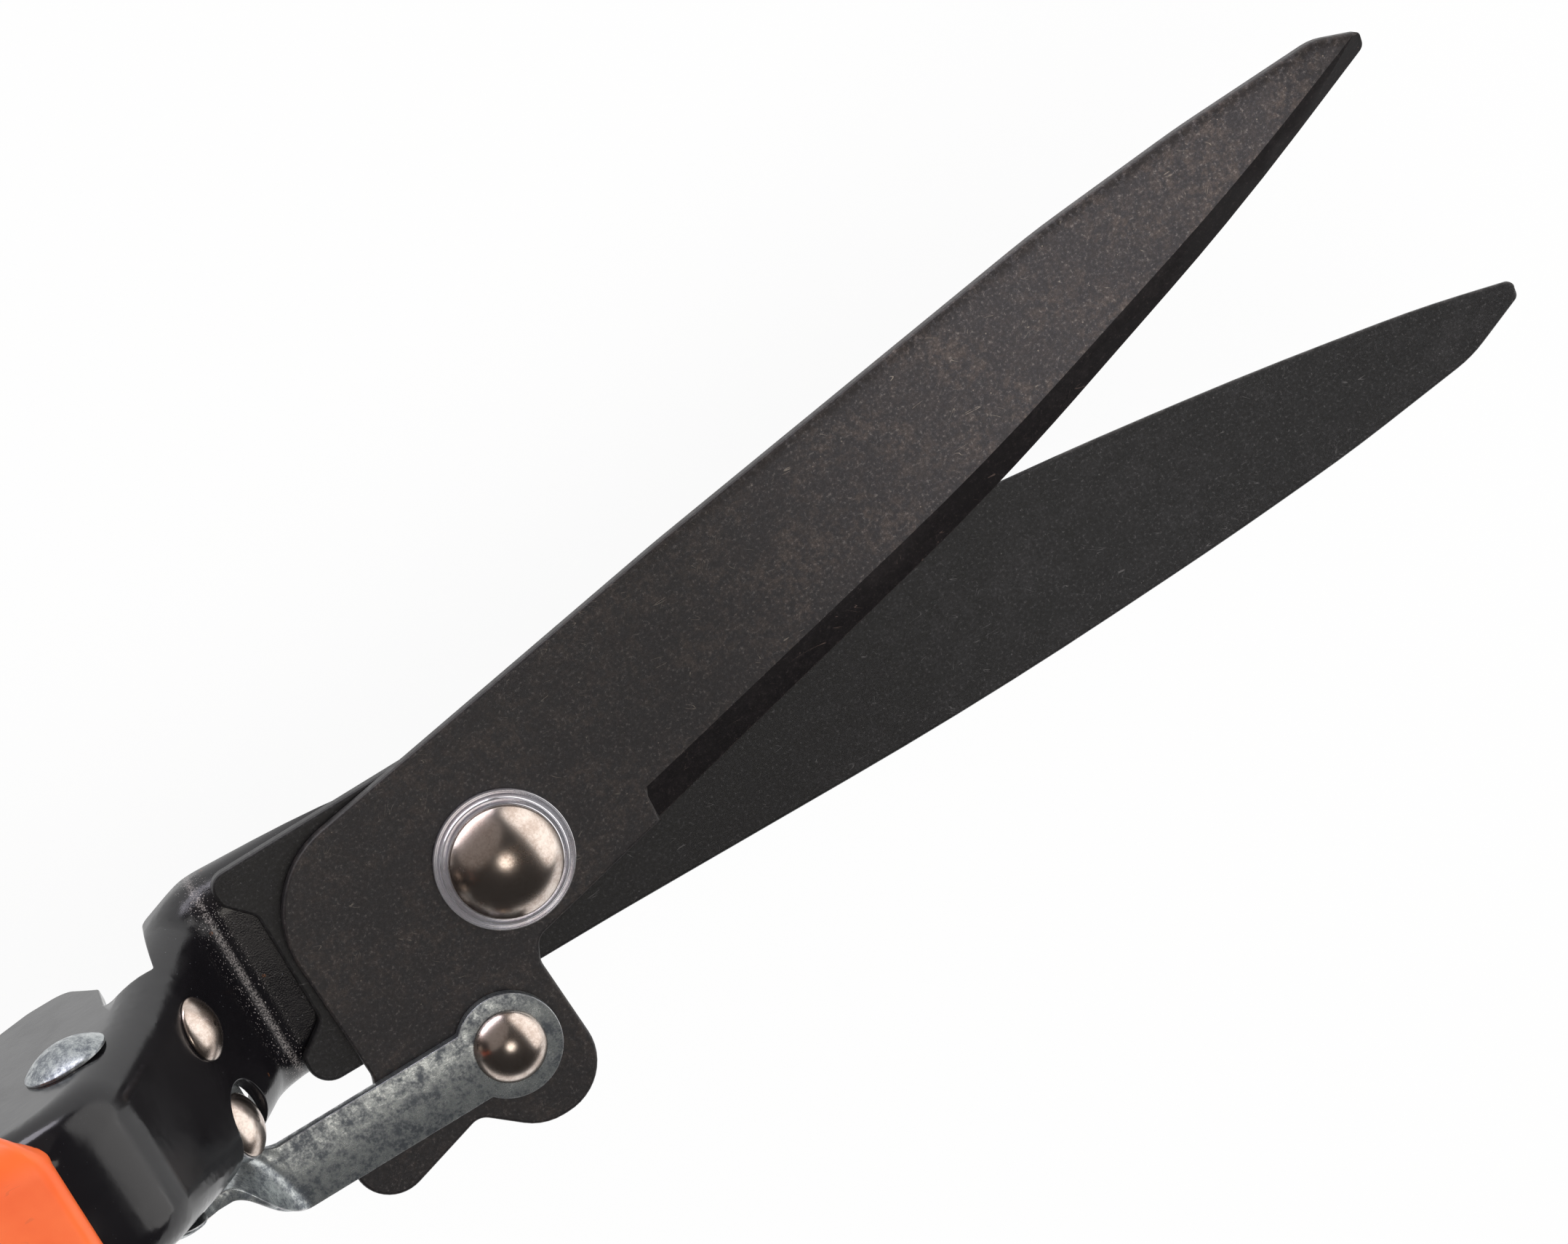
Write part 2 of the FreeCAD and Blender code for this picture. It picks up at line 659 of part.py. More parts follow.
def lower_lever():
    pin_x, pin_z = closed_pin_place()
    lever = lever_block().cut(lever_hollow())
    arm = obround(lever_x, lever_z, pin_x, pin_z, link_end_r, cheek_out, cheek_out + sheet)
    lever = lever.fuse(arm)
    lever = lever.cut(cross_rod(lever_pin_r + bush_wall + bore_gap, lever_x, lever_z))
    slot = obround(pin_x, pin_z, link_pin_x - link_pull, link_pin_z, link_pin_r + link_slot_gap, -overrun, handle_y)
    lever = lever.cut(slot)
    return turn_lever(one_solid(lever), -lever_open_deg)


def lower_grip():
    """The lever's sleeve, fitted round the channel."""
    outer = sleeve(lever_x - lever_grip_start, lever_x - lever_grip_stop, lever_floor - grip_wall,
                   lever_grip_top + grip_wall, lever_half + grip_wall, grip_low_r, grip_top_r)
    hollow = Part.makeBox(2 * lever_end, 2 * lever_half, lever_deep,
                          vec(lever_x - 2 * lever_end, handle_y - lever_half, lever_floor))
    return turn_lever(one_solid(rounded_ends(outer).cut(hollow)), -lever_open_deg)


# Grips

def sleeve(front, back, low, high, half, top_r, low_r):
    """A smooth loft of even sections that swells towards its middle."""
    wires = []
    for along_share in (0.0, 0.25, 0.5, 0.75, 1.0):
        swell = grip_swell * math.sin(math.pi * along_share)
        x = front + (back - front) * along_share
        wires.append(section_across(x, handle_y, low - swell / 2, high + swell / 2, half + swell / 2, top_r, low_r))
    return Part.makeLoft(wires, True, False)


def rounded_ends(body):
    """The sleeve with its end edges rounded."""
    ends = [edge for face in body.Faces if face.Surface.TypeId == "Part::GeomPlane" and is_end(face)
            for edge in face.Edges]
    return body.makeFillet(grip_end_r, ends)


def is_end(face):
    """Whether a flat face closes a sleeve's end, so that it runs right across it."""
    return face.BoundBox.YLength > lever_half * 2 and face.BoundBox.ZLength > lever_half


def upper_grip():
    """The handle's sleeve; its front leans back from the top, and it is open below for the lever."""
    low = channel_floor - grip_wall
    high = crest_z + grip_wall
    outer = sleeve(grip_front + grip_wall, grip_back, low, high, channel_half + grip_wall, grip_top_r, grip_low_r)
    lean = grip_slant / (high - low)
    wedge = [(grip_front + lean * overrun, high + overrun, 0), (grip_front + 2 * overrun, high + overrun, 0),
             (grip_front + 2 * overrun, low - overrun, 0), (grip_front - grip_slant - lean * overrun, low - overrun, 0)]
    outer = rounded_ends(outer.cut(side_plate(wedge, handle_y - overrun, handle_y + overrun)))
    inside = channel_half - sheet
    slot = Part.makeBox(overrun, 2 * inside, overrun, vec(grip_slot_back, handle_y - inside, channel_floor - overrun))
    return one_solid(outer.cut(filled_handle()).cut(slot))


# Link

def link():
    """Zinc-plated strip: round eye, flat strip, then a twist that ends in an upright eye."""
    top = link_low + link_thick
    half = link_width / 2
    plate_x = link_flat_end - link_twist_run
    eye = upright_rod(link_eye_r, ear_x, ear_y, link_low, top)
    strip = flat_plate([(ear_x, ear_y - half, 0), (ear_x, ear_y + half, 0), (link_flat_end, ear_y + half, 0),
                        (link_flat_end, ear_y - half, 0)], link_low, link_thick)
    start = vec(link_flat_end, ear_y, link_low + link_thick / 2)
    stop = vec(plate_x, link_plate_y, link_pin_z)
    sections = [strip_section(start, stop, turn_share) for turn_share in (0.0, 0.2, 0.4, 0.6, 0.8, 1.0)]
    twist = Part.makeLoft(sections, True, False)
    end = side_plate([(plate_x, link_pin_z - half, 0), (plate_x, link_pin_z + half, 0),
                      (link_pin_x, link_pin_z + half, 0), (link_pin_x, link_pin_z - half, 0)], plate_out, plate_in)
    end = end.fuse(cross_rod(link_end_r, link_pin_x, link_pin_z, plate_out, plate_in))
    shape = eye.fuse([strip, twist, end])
    shape = shape.cut(upright_rod(ear_rivet_r + bore_gap, ear_x, ear_y))
    return one_solid(shape.cut(cross_rod(link_pin_r, link_pin_x, link_pin_z)))


def strip_section(start, stop, turn_share):
    """The strip's end face part of the way through its twist, from flat to upright."""
    eased_share = (1 - math.cos(math.pi * turn_share)) / 2
    middle = start + (stop - start) * eased_share
    middle.x = start.x + (stop.x - start.x) * turn_share
    turn = math.pi / 2 * eased_share
    across = vec(0, math.cos(turn), -math.sin(turn)) * (link_width / 2)
    through = vec(0, math.sin(turn), math.cos(turn)) * (link_thick / 2)
    corners = [middle + across + through, middle - across + through, middle - across - through,
               middle + across - through]
    return Part.makePolygon(corners + corners[:1])


def link_rivet():
    base = link_low + link_thick + run_gap
    head = domed_head(ear_dome_r, ear_dome_high, vec(ear_x, ear_y, base), AXIS_Z)
    shank = upright_rod(ear_rivet_r, ear_x, ear_y, run_gap, base)
    return one_solid(head.fuse([shank, ear_sink()]))


def link_pin():
    inner = cheek_out + sheet + link_pin_play
    shank = cross_rod(link_pin_r, link_pin_x, link_pin_z, plate_out, inner)
    head = domed_head(link_pin_head_r, link_pin_head_high, vec(link_pin_x, plate_out, link_pin_z), -AXIS_Y)
    tail = domed_head(link_pin_head_r, link_pin_head_high, vec(link_pin_x, inner, link_pin_z), AXIS_Y)
    return one_solid(shank.fuse([head, tail]))


# Opening spring and its seats

def biarc(start, start_way, end, end_way):
    """Two arcs that join two places with given unit directions."""
    span = end - start
    both = start_way + end_way
    spread = 2 * (1 - start_way.dot(end_way))
    along = span.dot(both)
    reach = (math.sqrt(along * along + spread * span.dot(span)) - along) / spread
    joint = (start + start_way * reach + end - end_way * reach) * 0.5
    return [arc_from(start, start_way, joint), arc_from(end, -end_way, joint)[::-1]]


def arc_from(start, way, end):
    """The three points of the arc that leaves start along way and reaches end."""
    span = end - start
    bend = way.getAngle(span)
    side = (way - span * (way.dot(span) / span.dot(span))).normalize()
    top = start + span * 0.5 + side * (span.Length / 2 * math.tan(bend / 2))
    return (start, top, end)


def coil_place(turns, pitch):
    angle = 2 * math.pi * turns
    low = spring_low_z + 2 * spring_wire_r + spring_bend_r
    return vec(spring_x + spring_r * math.cos(angle), handle_y + spring_r * math.sin(angle), low + pitch * turns)


def coil_way(turns, pitch):
    angle = 2 * math.pi * turns
    pitch_per_radian = pitch / (2 * math.pi)
    return vec(-spring_r * math.sin(angle), spring_r * math.cos(angle), pitch_per_radian).normalize()


def spring_end(place, way, up):
    """A bend and a straight stub that bring the wire square to its seat; up is +1 at the top."""
    flat = vec(way.x, way.y, 0).normalize()
    lift = math.asin(way.z * up)
    centre = place + (AXIS_Z * math.cos(lift) * up - flat * math.sin(lift)) * spring_bend_r
    half = (math.pi / 2 + lift) / 2
    middle = centre + (flat * math.sin(half) - AXIS_Z * math.cos(half) * up) * spring_bend_r
    out = centre + flat * spring_bend_r
    return [Part.Arc(place, middle, out).toShape(),
            Part.LineSegment(out, out + AXIS_Z * up * 2 * spring_wire_r).toShape()]


def opening_spring():
    """One wire: a steady helix in quarter-turn biarcs, its ends turned to stand on the seats."""
    ends = 2 * (2 * spring_wire_r + spring_bend_r)
    pitch = (seat_top_z - spring_low_z - ends) / spring_turns
    edges = []
    for k in range(4 * spring_turns):
        first = k / 4
        second = (k + 1) / 4
        for points in biarc(coil_place(first, pitch), coil_way(first, pitch), coil_place(second, pitch),
                            coil_way(second, pitch)):
            edges.append(Part.Arc(*points).toShape())
    low_end = spring_end(coil_place(0, pitch), -coil_way(0, pitch), -1)
    top_end = spring_end(coil_place(spring_turns, pitch), coil_way(spring_turns, pitch), 1)
    path = Part.Wire(Part.sortEdges(low_end + edges + top_end)[0])
    foot = path.OrderedVertexes[0].Point
    ring = Part.Wire(Part.makeCircle(spring_wire_r, foot, AXIS_Z))
    coil = path.makePipeShell([ring], True, False)
    print("spring least gap to itself", round(least_gap(path), 2))
    return one_solid(coil)


def least_gap(path):
    """The least distance between stretches of a wire that lie more than half a turn apart."""
    points = path.discretize(Number=40 * spring_turns)
    apart = 20
    nearest = min(a.distanceToPoint(b) for i, a in enumerate(points) for b in points[i + apart:])
    return nearest - 2 * spring_wire_r


def upper_spring_seat():
    """A moulded plug under the web: flange with a stud inside the coil."""
    flange = upright_rod(seat_flange_r, spring_x, handle_y, seat_top_z, crest_z - sheet)
    stud = upright_rod(seat_stud_r, spring_x, handle_y, seat_top_z - seat_stud_high, seat_top_z)
    return one_solid(flange.fuse(stud))


def lower_spring_seat():
    """A wedge seat on the lever's web, level with the handles open."""
    flange = upright_rod(seat_flange_r, spring_x, handle_y, lever_z - lever_boss_r, spring_low_z)
    stud = upright_rod(seat_stud_r, spring_x, handle_y, spring_low_z, spring_low_z + seat_stud_high)
    below = turn_lever(lever_block(), -lever_open_deg)
    seat = flange.cut(below).fuse(stud)
    return one_solid(Part.makeCompound([s for s in seat.Solids if s.BoundBox.ZMax > spring_low_z]))


# Catch bail

def catch_bail():
    """A wire bail whose turned-in ends sit in the handle's walls; it lies straight back."""
    bend = 1.5 * bail_wire_r
    outer = channel_half + seat_gap + bend
    inner = channel_half - sheet - seat_gap
    back = bail_x - bail_drop
    route = [(bail_x, inner), (bail_x, outer), (back, outer), (back, -outer), (bail_x, -outer), (bail_x, -inner)]
    points = [vec(x, handle_y + y, bail_z) for x, y in route]
    path = Part.Wire(rounded_route(points, (bend, bail_corner_r, bail_corner_r, bend)))
    ring = Part.Wire(Part.makeCircle(bail_wire_r, points[0], AXIS_Y))
    return one_solid(path.makePipeShell([ring], True, False))


def rounded_route(points, radii):
    """Straight runs joined by tangent arcs."""
    edges = []
    last = points[0]
    for before, here, after, radius in zip(points, points[1:], points[2:], radii):
        back = (before - here).normalize()
        ahead = (after - here).normalize()
        half = back.getAngle(ahead) / 2
        run = radius / math.tan(half)
        top = here + (back + ahead).normalize() * (radius / math.sin(half) - radius)
        edges.append(Part.LineSegment(last, here + back * run).toShape())
        edges.append(Part.Arc(here + back * run, top, here + ahead * run).toShape())
        last = here + ahead * run
    edges.append(Part.LineSegment(last, points[-1]).toShape())
    return edges


makers = (main_handle, stiffener, upper_grip, fixed_blade, moving_blade, blade_rivets, pivot_bolt, cup_washer,
          spring_washer, pivot_nut, link, link_rivet, link_pin, web_rivet, lever_rivet, lever_bush, lower_lever,
          lower_grip, opening_spring, upper_spring_seat, lower_spring_seat, catch_bail)

home = vec(-hang_x, -handle_y, -crest_z)
for maker in makers:
    shape = maker()
    shape.translate(home)
    shape.exportStep("parts/" + maker.__name__ + ".step")
    print(maker.__name__, len(shape.Solids), shape.isValid(), round(shape.Volume, 1))
print("blade pivot", home, "lever pivot", home + vec(lever_x, handle_y, lever_z))
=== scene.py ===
import bpy
import bmesh
import json
import math
from mathutils import Matrix, Vector


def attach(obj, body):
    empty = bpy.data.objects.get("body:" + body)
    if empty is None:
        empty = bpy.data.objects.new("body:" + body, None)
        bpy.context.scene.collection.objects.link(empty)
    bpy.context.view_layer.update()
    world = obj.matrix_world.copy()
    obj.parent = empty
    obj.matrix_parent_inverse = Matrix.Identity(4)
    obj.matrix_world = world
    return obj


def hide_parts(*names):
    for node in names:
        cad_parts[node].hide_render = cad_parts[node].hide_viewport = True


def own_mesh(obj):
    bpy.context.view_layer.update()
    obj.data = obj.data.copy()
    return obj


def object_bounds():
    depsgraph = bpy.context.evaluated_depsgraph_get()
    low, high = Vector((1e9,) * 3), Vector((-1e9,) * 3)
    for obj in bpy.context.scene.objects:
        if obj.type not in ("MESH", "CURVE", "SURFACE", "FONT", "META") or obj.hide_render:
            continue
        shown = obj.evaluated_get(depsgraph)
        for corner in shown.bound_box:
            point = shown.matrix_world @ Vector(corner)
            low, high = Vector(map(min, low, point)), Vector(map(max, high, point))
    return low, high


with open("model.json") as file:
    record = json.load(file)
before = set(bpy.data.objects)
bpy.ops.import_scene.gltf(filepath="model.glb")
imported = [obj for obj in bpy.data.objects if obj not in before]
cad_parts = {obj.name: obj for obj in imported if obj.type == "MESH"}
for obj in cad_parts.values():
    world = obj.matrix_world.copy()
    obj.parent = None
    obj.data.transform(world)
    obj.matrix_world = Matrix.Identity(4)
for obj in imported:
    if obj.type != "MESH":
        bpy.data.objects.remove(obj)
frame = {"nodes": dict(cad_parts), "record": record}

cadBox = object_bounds()
nodes = frame["nodes"]
mm = 0.001
bladePivot = Vector((194.5, -1.5, -46.0))       # mm, the blade pivot in the frame
slotOf = {part["node"]: part["material_slot"] for part in frame["record"]["subparts"]}
bodyOf = {node: body for body, held in frame["record"]["behaviour"]["bodies"].items() for node in held}


# camera: looks down on the blade pivot, as in the photograph
cameraSetup = {
    "from pivot (mm)": (-21.234, 167.677, 573.791),
    "image right": (0.85097, -0.46858, 0.23726),
    "image up": (0.51137, 0.84222, -0.17078),
    "sensor": 36,
    "lens": 98.18,
}


def makeCamera(setup):
    right = Vector(setup["image right"]).normalized()
    up = Vector(setup["image up"])
    up = (up - right * up.dot(right)).normalized()
    turn = Matrix((right, up, right.cross(up))).transposed().to_4x4()
    data = bpy.data.cameras.new("shearsCamera")
    data.sensor_width = setup["sensor"]
    data.lens = setup["lens"]
    camera = bpy.data.objects.new("shearsCamera", data)
    camera.matrix_world = Matrix.Translation((bladePivot + Vector(setup["from pivot (mm)"])) * mm) @ turn
    bpy.context.scene.collection.objects.link(camera)
    bpy.context.scene.camera = camera


makeCamera(cameraSetup)
print("camera placed")


# small helpers for node trees; patterns are read in mm on the piece's own Object coordinates
def newMaterial(name):
    material = bpy.data.materials.new(name)
    material.use_nodes = True
    tree = material.node_tree
    return material, tree, tree.nodes["Principled BSDF"]


def plug(tree, socket, value):
    if isinstance(value, bpy.types.NodeSocket):
        tree.links.new(value, socket)
    else:
        socket.default_value = value


def addNode(tree, kind, settings=None, **inputs):
    node = tree.nodes.new(kind)
    for key, value in (settings or {}).items():
        setattr(node, key, value)
    for key, value in inputs.items():
        plug(tree, node.inputs[key.replace("_", " ")], value)
    return node


def placeInMm(tree, cell=(1, 1, 1), turn=0.0, shift=(0, 0, 0)):
    coords = addNode(tree, "ShaderNodeTexCoord")
    turned = addNode(tree, "ShaderNodeMapping", Vector=coords.outputs["Object"])
    turned.inputs["Rotation"].default_value = (0, 0, math.radians(turn))
    sized = addNode(tree, "ShaderNodeMapping", Vector=turned.outputs["Vector"])
    sized.inputs["Scale"].default_value = [1 / (mm * size) for size in cell]
    sized.inputs["Location"].default_value = shift
    return sized.outputs["Vector"]


def axisOf(tree, place, axis):
    return addNode(tree, "ShaderNodeSeparateXYZ", None, Vector=place).outputs[axis]


def noise(tree, place, size, detail=3.0, rough=0.55):
    return addNode(tree, "ShaderNodeTexNoise", None, Vector=place, Scale=1 / size, Detail=detail,
                   Roughness=rough).outputs["Fac"]


def calc(tree, operation, first, second=0.0, third=None):
    node = addNode(tree, "ShaderNodeMath", {"operation": operation})
    plug(tree, node.inputs[0], first)
    plug(tree, node.inputs[1], second)
    if third is not None:
        plug(tree, node.inputs[2], third)
    return node.outputs[0]


def times(tree, first, second):
    return calc(tree, "MULTIPLY", first, second)


def strongest(tree, values):
    top = values[0]
    for value in values[1:]:
        top = calc(tree, "MAXIMUM", top, value)
    return top


def stretch(tree, source, fromLow, fromHigh, low=0.0, high=1.0):
    node = addNode(tree, "ShaderNodeMapRange", {"interpolation_type": "SMOOTHSTEP"}, Value=source)
    for key, value in (("From Min", fromLow), ("From Max", fromHigh), ("To Min", low), ("To Max", high)):
        node.inputs[key].default_value = value
    return node.outputs["Result"]


def mixColors(tree, factor, first, second):
    node = addNode(tree, "ShaderNodeMix", {"data_type": "RGBA"})
    for socket, value in ((node.inputs[0], factor), (node.inputs[6], first), (node.inputs[7], second)):
        plug(tree, socket, value)
    return node.outputs[2]


def brighten(tree, color, paintedLight):
    node = addNode(tree, "ShaderNodeVectorMath", {"operation": "SCALE"})
    plug(tree, node.inputs[0], color)
    plug(tree, node.inputs["Scale"], paintedLight)
    return node.outputs[0]


def distanceTo(tree, place, spot):
    node = addNode(tree, "ShaderNodeVectorMath", {"operation": "DISTANCE"})
    tree.links.new(place, node.inputs[0])
    node.inputs[1].default_value = spot
    return node.outputs["Value"]


strokePatches = {"size (mm)": 3.5, "soft": 0.06}


def strokes(tree, length, width, turn, shift, thin, kept):
    # thin curved scratches: level lines of a long drawn noise, kept only in patches
    drawn = noise(tree, placeInMm(tree, (length, width, length), turn, shift), 1, 1, 0.4)
    line = calc(tree, "COMPARE", drawn, 0.5, thin)
    patch = noise(tree, placeInMm(tree, shift=(shift[1], shift[0], 7)), strokePatches["size (mm)"], 2, 0.5)
    return times(tree, line, stretch(tree, patch, kept, kept + strokePatches["soft"]))


def specks(tree, cell, radius, kept, shift=(0, 0, 0)):
    # small round spots in a few of the cells
    place = placeInMm(tree, (cell, cell, cell), 0, shift)
    spots = addNode(tree, "ShaderNodeTexVoronoi", None, Vector=place, Scale=1.0)
    chosen = addNode(tree, "ShaderNodeSeparateColor", None, Color=spots.outputs["Color"])
    near = calc(tree, "LESS_THAN", spots.outputs["Distance"], radius / cell)
    return times(tree, near, calc(tree, "GREATER_THAN", chosen.outputs[0], kept))


def edgeMask(tree, radius, low, high):
    # 1 along the piece's edges, 0 on its faces
    rolled = addNode(tree, "ShaderNodeBevel", {"samples": 6}, Radius=radius * mm)
    flat = addNode(tree, "ShaderNodeNewGeometry")
    dot = addNode(tree, "ShaderNodeVectorMath", {"operation": "DOT_PRODUCT"})
    tree.links.new(rolled.outputs["Normal"], dot.inputs[0])
    tree.links.new(flat.outputs["Normal"], dot.inputs[1])
    return stretch(tree, calc(tree, "SUBTRACT", 1.0, dot.outputs["Value"]), low, high)


def addBump(tree, shader, height, strength, deep):
    bump = addNode(tree, "ShaderNodeBump", None, Height=height, Strength=strength, Distance=deep * mm)
    tree.links.new(bump.outputs["Normal"], shader.inputs["Normal"])


# black oxide of the blades: grain, brown clouds, short light scratches, worn edges, and a painted sheen
# painted sheen: each finish's three factors on its colour, at the pivot, at the far end, and once more at the
# tip, stand in for the lamps' sheen along the blade
movingFinish = {
    "dark": (0.0135, 0.0124, 0.0138, 1), "brown": (0.0305, 0.0238, 0.0215, 1), "worn": (0.10, 0.088, 0.08, 1),
    "scratch": (0.10, 0.085, 0.07, 1), "cloud": 9.0, "mottle": 1.3, "grain": 0.2, "roughness": (0.40, 0.55),
    "edge": 0.9, "brushed": 0.0, "kept": 0.655, "ior": 1.5, "paintedLight": (1.2, 4.0, 0.64), "back scale": 1.0,
}
fixedFinish = {
    "dark": (0.0125, 0.0125, 0.0132, 1), "brown": (0.0185, 0.0178, 0.019, 1), "worn": (0.10, 0.093, 0.093, 1),
    "scratch": (0.085, 0.08, 0.08, 1), "cloud": 14.0, "mottle": 3.0, "grain": 0.3, "roughness": (0.42, 0.52),
    "edge": 0.8, "brushed": 0.8, "kept": 0.645, "ior": 1.5, "paintedLight": (0.85, 1.5, 1.0), "back scale": 0.0,
}
groundFinish = {
    "dark": (0.0068, 0.0056, 0.0066, 1), "brown": (0.0125, 0.0098, 0.0108, 1), "worn": (0.05, 0.04, 0.038, 1),
    "scratch": (0.10, 0.07, 0.06, 1), "cloud": 6.0, "mottle": 1.6, "grain": 0.3, "roughness": (0.46, 0.58),
    "edge": 0.25, "brushed": 0.5, "kept": 0.655, "ior": 1.38, "paintedLight": (1.0, 1.15, 1.0), "back scale": 0.0,
}

# what the three blade finishes share; a range is from low, from high, to low, to high
oxidePattern = {
    "clouds": (0.38, 0.62, 0.25, 1.0), "mottles": (0.40, 0.64),
    "dark grain": (0.35, 0.68, 0.0, 0.55), "light grain": (0.60, 0.72, 0.0, 0.5),
    "grain color": (0.006, 0.0055, 0.005, 1),
    "sand (mm)": 0.5, "dark sand": (0.44, 0.60, 0.0, 0.45), "light sand": (0.44, 0.34, 0.0, 0.35),
    "sand color": (0.005, 0.0045, 0.0045, 1),
    # length, width, turn, shift, thinness
    "scratches": ((7, 1.1, 35, (3, 1, 0), 0.006), (5, 0.8, -50, (9, 4, 2), 0.005),
                  (9, 1.6, 5, (5, 8, 1), 0.005)),
    "scratch share": 0.6,
    # cell, radius, cells left out, shift
    "dots": ((1.8, 0.11, 0.72), (0.9, 0.05, 0.8, (4, 2, 1))),
    "dot share": 0.5,
    "edge range": (0.012, 0.20), "edge patch (mm)": 1.1, "edge patches": (0.36, 0.62, 0.15, 1.0),
    "edge share": 0.75,
    "gloss over": (0.3, 0.7), "brushing (mm)": (26, 0.16, 26), "brushing turn": 6,
    "grain height": 0.6, "scratch depth": 0.5, "bump": 0.35, "bump (mm)": 0.03,
}
# painted sheen: where the painted sheen grows along the blade, and where it fades again towards the tip
sheenAlongBlade = {"sheen growing (mm)": (225.0, 305.0), "sheen fading (mm)": (338.0, 352.0)}      # along the blade
rustSpot = {"place (mm)": (349.6, 32.9, -42.3), "radius": 0.5, "soft": 0.5, "ragged": 0.6,
            "color": (0.30, 0.10, 0.03, 1)}
# painted highlight: a lighter patch painted on the blade near its tip, standing in for a highlight there
paintedTipHighlight = {"place (mm)": (351.6, 37.3, -41.3), "start": 1.5, "radius": 3.5, "ragged": 3.0, "paintedLight": 1.7}
backScale = {"wide": 3.2, "edge range": (0.003, 0.02), "middle slope": 0.191, "middle start (mm)": -32.6,
             "side (mm)": (0.0, 3.0), "patch (mm)": 0.9, "patches": (0.42, 0.50), "along (mm)": (215, 245),
             "share": 0.8, "color": (0.0085, 0.006, 0.0052, 1)}


def paintedSheenGain(tree, place, mottle, finish):
    # painted sheen along the blade times a painted highlight near the tip, as one factor on the colour
    along = axisOf(tree, place, "X")
    atPivot, atFar, atTip = finish["paintedLight"]
    paintedLight = stretch(tree, along, *sheenAlongBlade["sheen growing (mm)"], atPivot, atFar)
    paintedLight = times(tree, paintedLight, stretch(tree, along, *sheenAlongBlade["sheen fading (mm)"], 1.0, atTip))
    fromTip = distanceTo(tree, place, paintedTipHighlight["place (mm)"])
    fromTip = calc(tree, "ADD", fromTip, times(tree, mottle, paintedTipHighlight["ragged"]))
    end = paintedTipHighlight["start"] + paintedTipHighlight["radius"]
    return times(tree, paintedLight, stretch(tree, fromTip, paintedTipHighlight["start"], end, paintedTipHighlight["paintedLight"], 1.0))


def scaleOnBack(tree, place, strength):
    # dark scale on the back half of the moving blade, near its edge
    along = axisOf(tree, place, "X")
    middle = calc(tree, "MULTIPLY_ADD", along, backScale["middle slope"], backScale["middle start (mm)"])
    behind = calc(tree, "SUBTRACT", axisOf(tree, place, "Y"), middle)
    scale = edgeMask(tree, backScale["wide"], *backScale["edge range"])
    scale = times(tree, scale, stretch(tree, behind, *backScale["side (mm)"]))
    patches = noise(tree, place, backScale["patch (mm)"], 5, 0.75)
    scale = times(tree, scale, stretch(tree, patches, *backScale["patches"]))
    ahead = stretch(tree, along, *backScale["along (mm)"], 0.0, backScale["share"] * strength)
    return times(tree, scale, ahead)


def bladeSteel(name, finish):
    material, tree, shader = newMaterial(name)
    pattern = oxidePattern
    place = placeInMm(tree)
    clouds = noise(tree, place, finish["cloud"], 3, 0.6)
    mottle = noise(tree, place, finish["mottle"], 5, 0.7)
    grain = noise(tree, place, finish["grain"], 2, 0.6)
    sand = noise(tree, place, pattern["sand (mm)"], 5, 0.8)
    brown = times(tree, stretch(tree, clouds, *pattern["clouds"]), stretch(tree, mottle, *pattern["mottles"]))
    tone = mixColors(tree, brown, finish["dark"], finish["brown"])
    tone = mixColors(tree, stretch(tree, grain, *pattern["dark grain"]), tone, pattern["grain color"])
    tone = mixColors(tree, stretch(tree, grain, *pattern["light grain"]), tone, finish["brown"])
    tone = mixColors(tree, stretch(tree, sand, *pattern["dark sand"]), tone, pattern["sand color"])
    tone = mixColors(tree, stretch(tree, sand, *pattern["light sand"]), tone, finish["worn"])
    marks = strongest(tree, [strokes(tree, *scratch, finish["kept"]) for scratch in pattern["scratches"]])
    dots = strongest(tree, [specks(tree, *layer) for layer in pattern["dots"]])
    light = calc(tree, "MAXIMUM", times(tree, marks, pattern["scratch share"]),
                 times(tree, dots, pattern["dot share"]))
    tone = mixColors(tree, light, tone, finish["scratch"])
    # painted sheen and painted tip highlight multiplied into the colour
    tone = brighten(tree, tone, paintedSheenGain(tree, place, mottle, finish))
    tone = mixColors(tree, scaleOnBack(tree, place, finish["back scale"]), tone, backScale["color"])
    patchy = stretch(tree, noise(tree, place, pattern["edge patch (mm)"], 4, 0.7), *pattern["edge patches"])
    worn = times(tree, edgeMask(tree, finish["edge"], *pattern["edge range"]), patchy)
    tone = mixColors(tree, times(tree, worn, pattern["edge share"]), tone, finish["worn"])
    ragged = distanceTo(tree, place, rustSpot["place (mm)"])
    ragged = calc(tree, "ADD", ragged, times(tree, mottle, rustSpot["ragged"]))
    spot = stretch(tree, ragged, rustSpot["radius"], rustSpot["radius"] + rustSpot["soft"], 1.0, 0.0)
    tree.links.new(mixColors(tree, spot, tone, rustSpot["color"]), shader.inputs["Base Color"])
    gloss = stretch(tree, mottle, *pattern["gloss over"], *finish["roughness"])
    tree.links.new(gloss, shader.inputs["Roughness"])
    shader.inputs["Metallic"].default_value = 0.0
    shader.inputs["IOR"].default_value = finish["ior"]
    brushing = noise(tree, placeInMm(tree, pattern["brushing (mm)"], pattern["brushing turn"]), 1, 3, 0.6)
    height = calc(tree, "ADD", times(tree, grain, pattern["grain height"]),
                  times(tree, brushing, finish["brushed"]))
    height = calc(tree, "SUBTRACT", height, times(tree, marks, pattern["scratch depth"]))
    addBump(tree, shader, height, pattern["bump"], pattern["bump (mm)"])
    return material
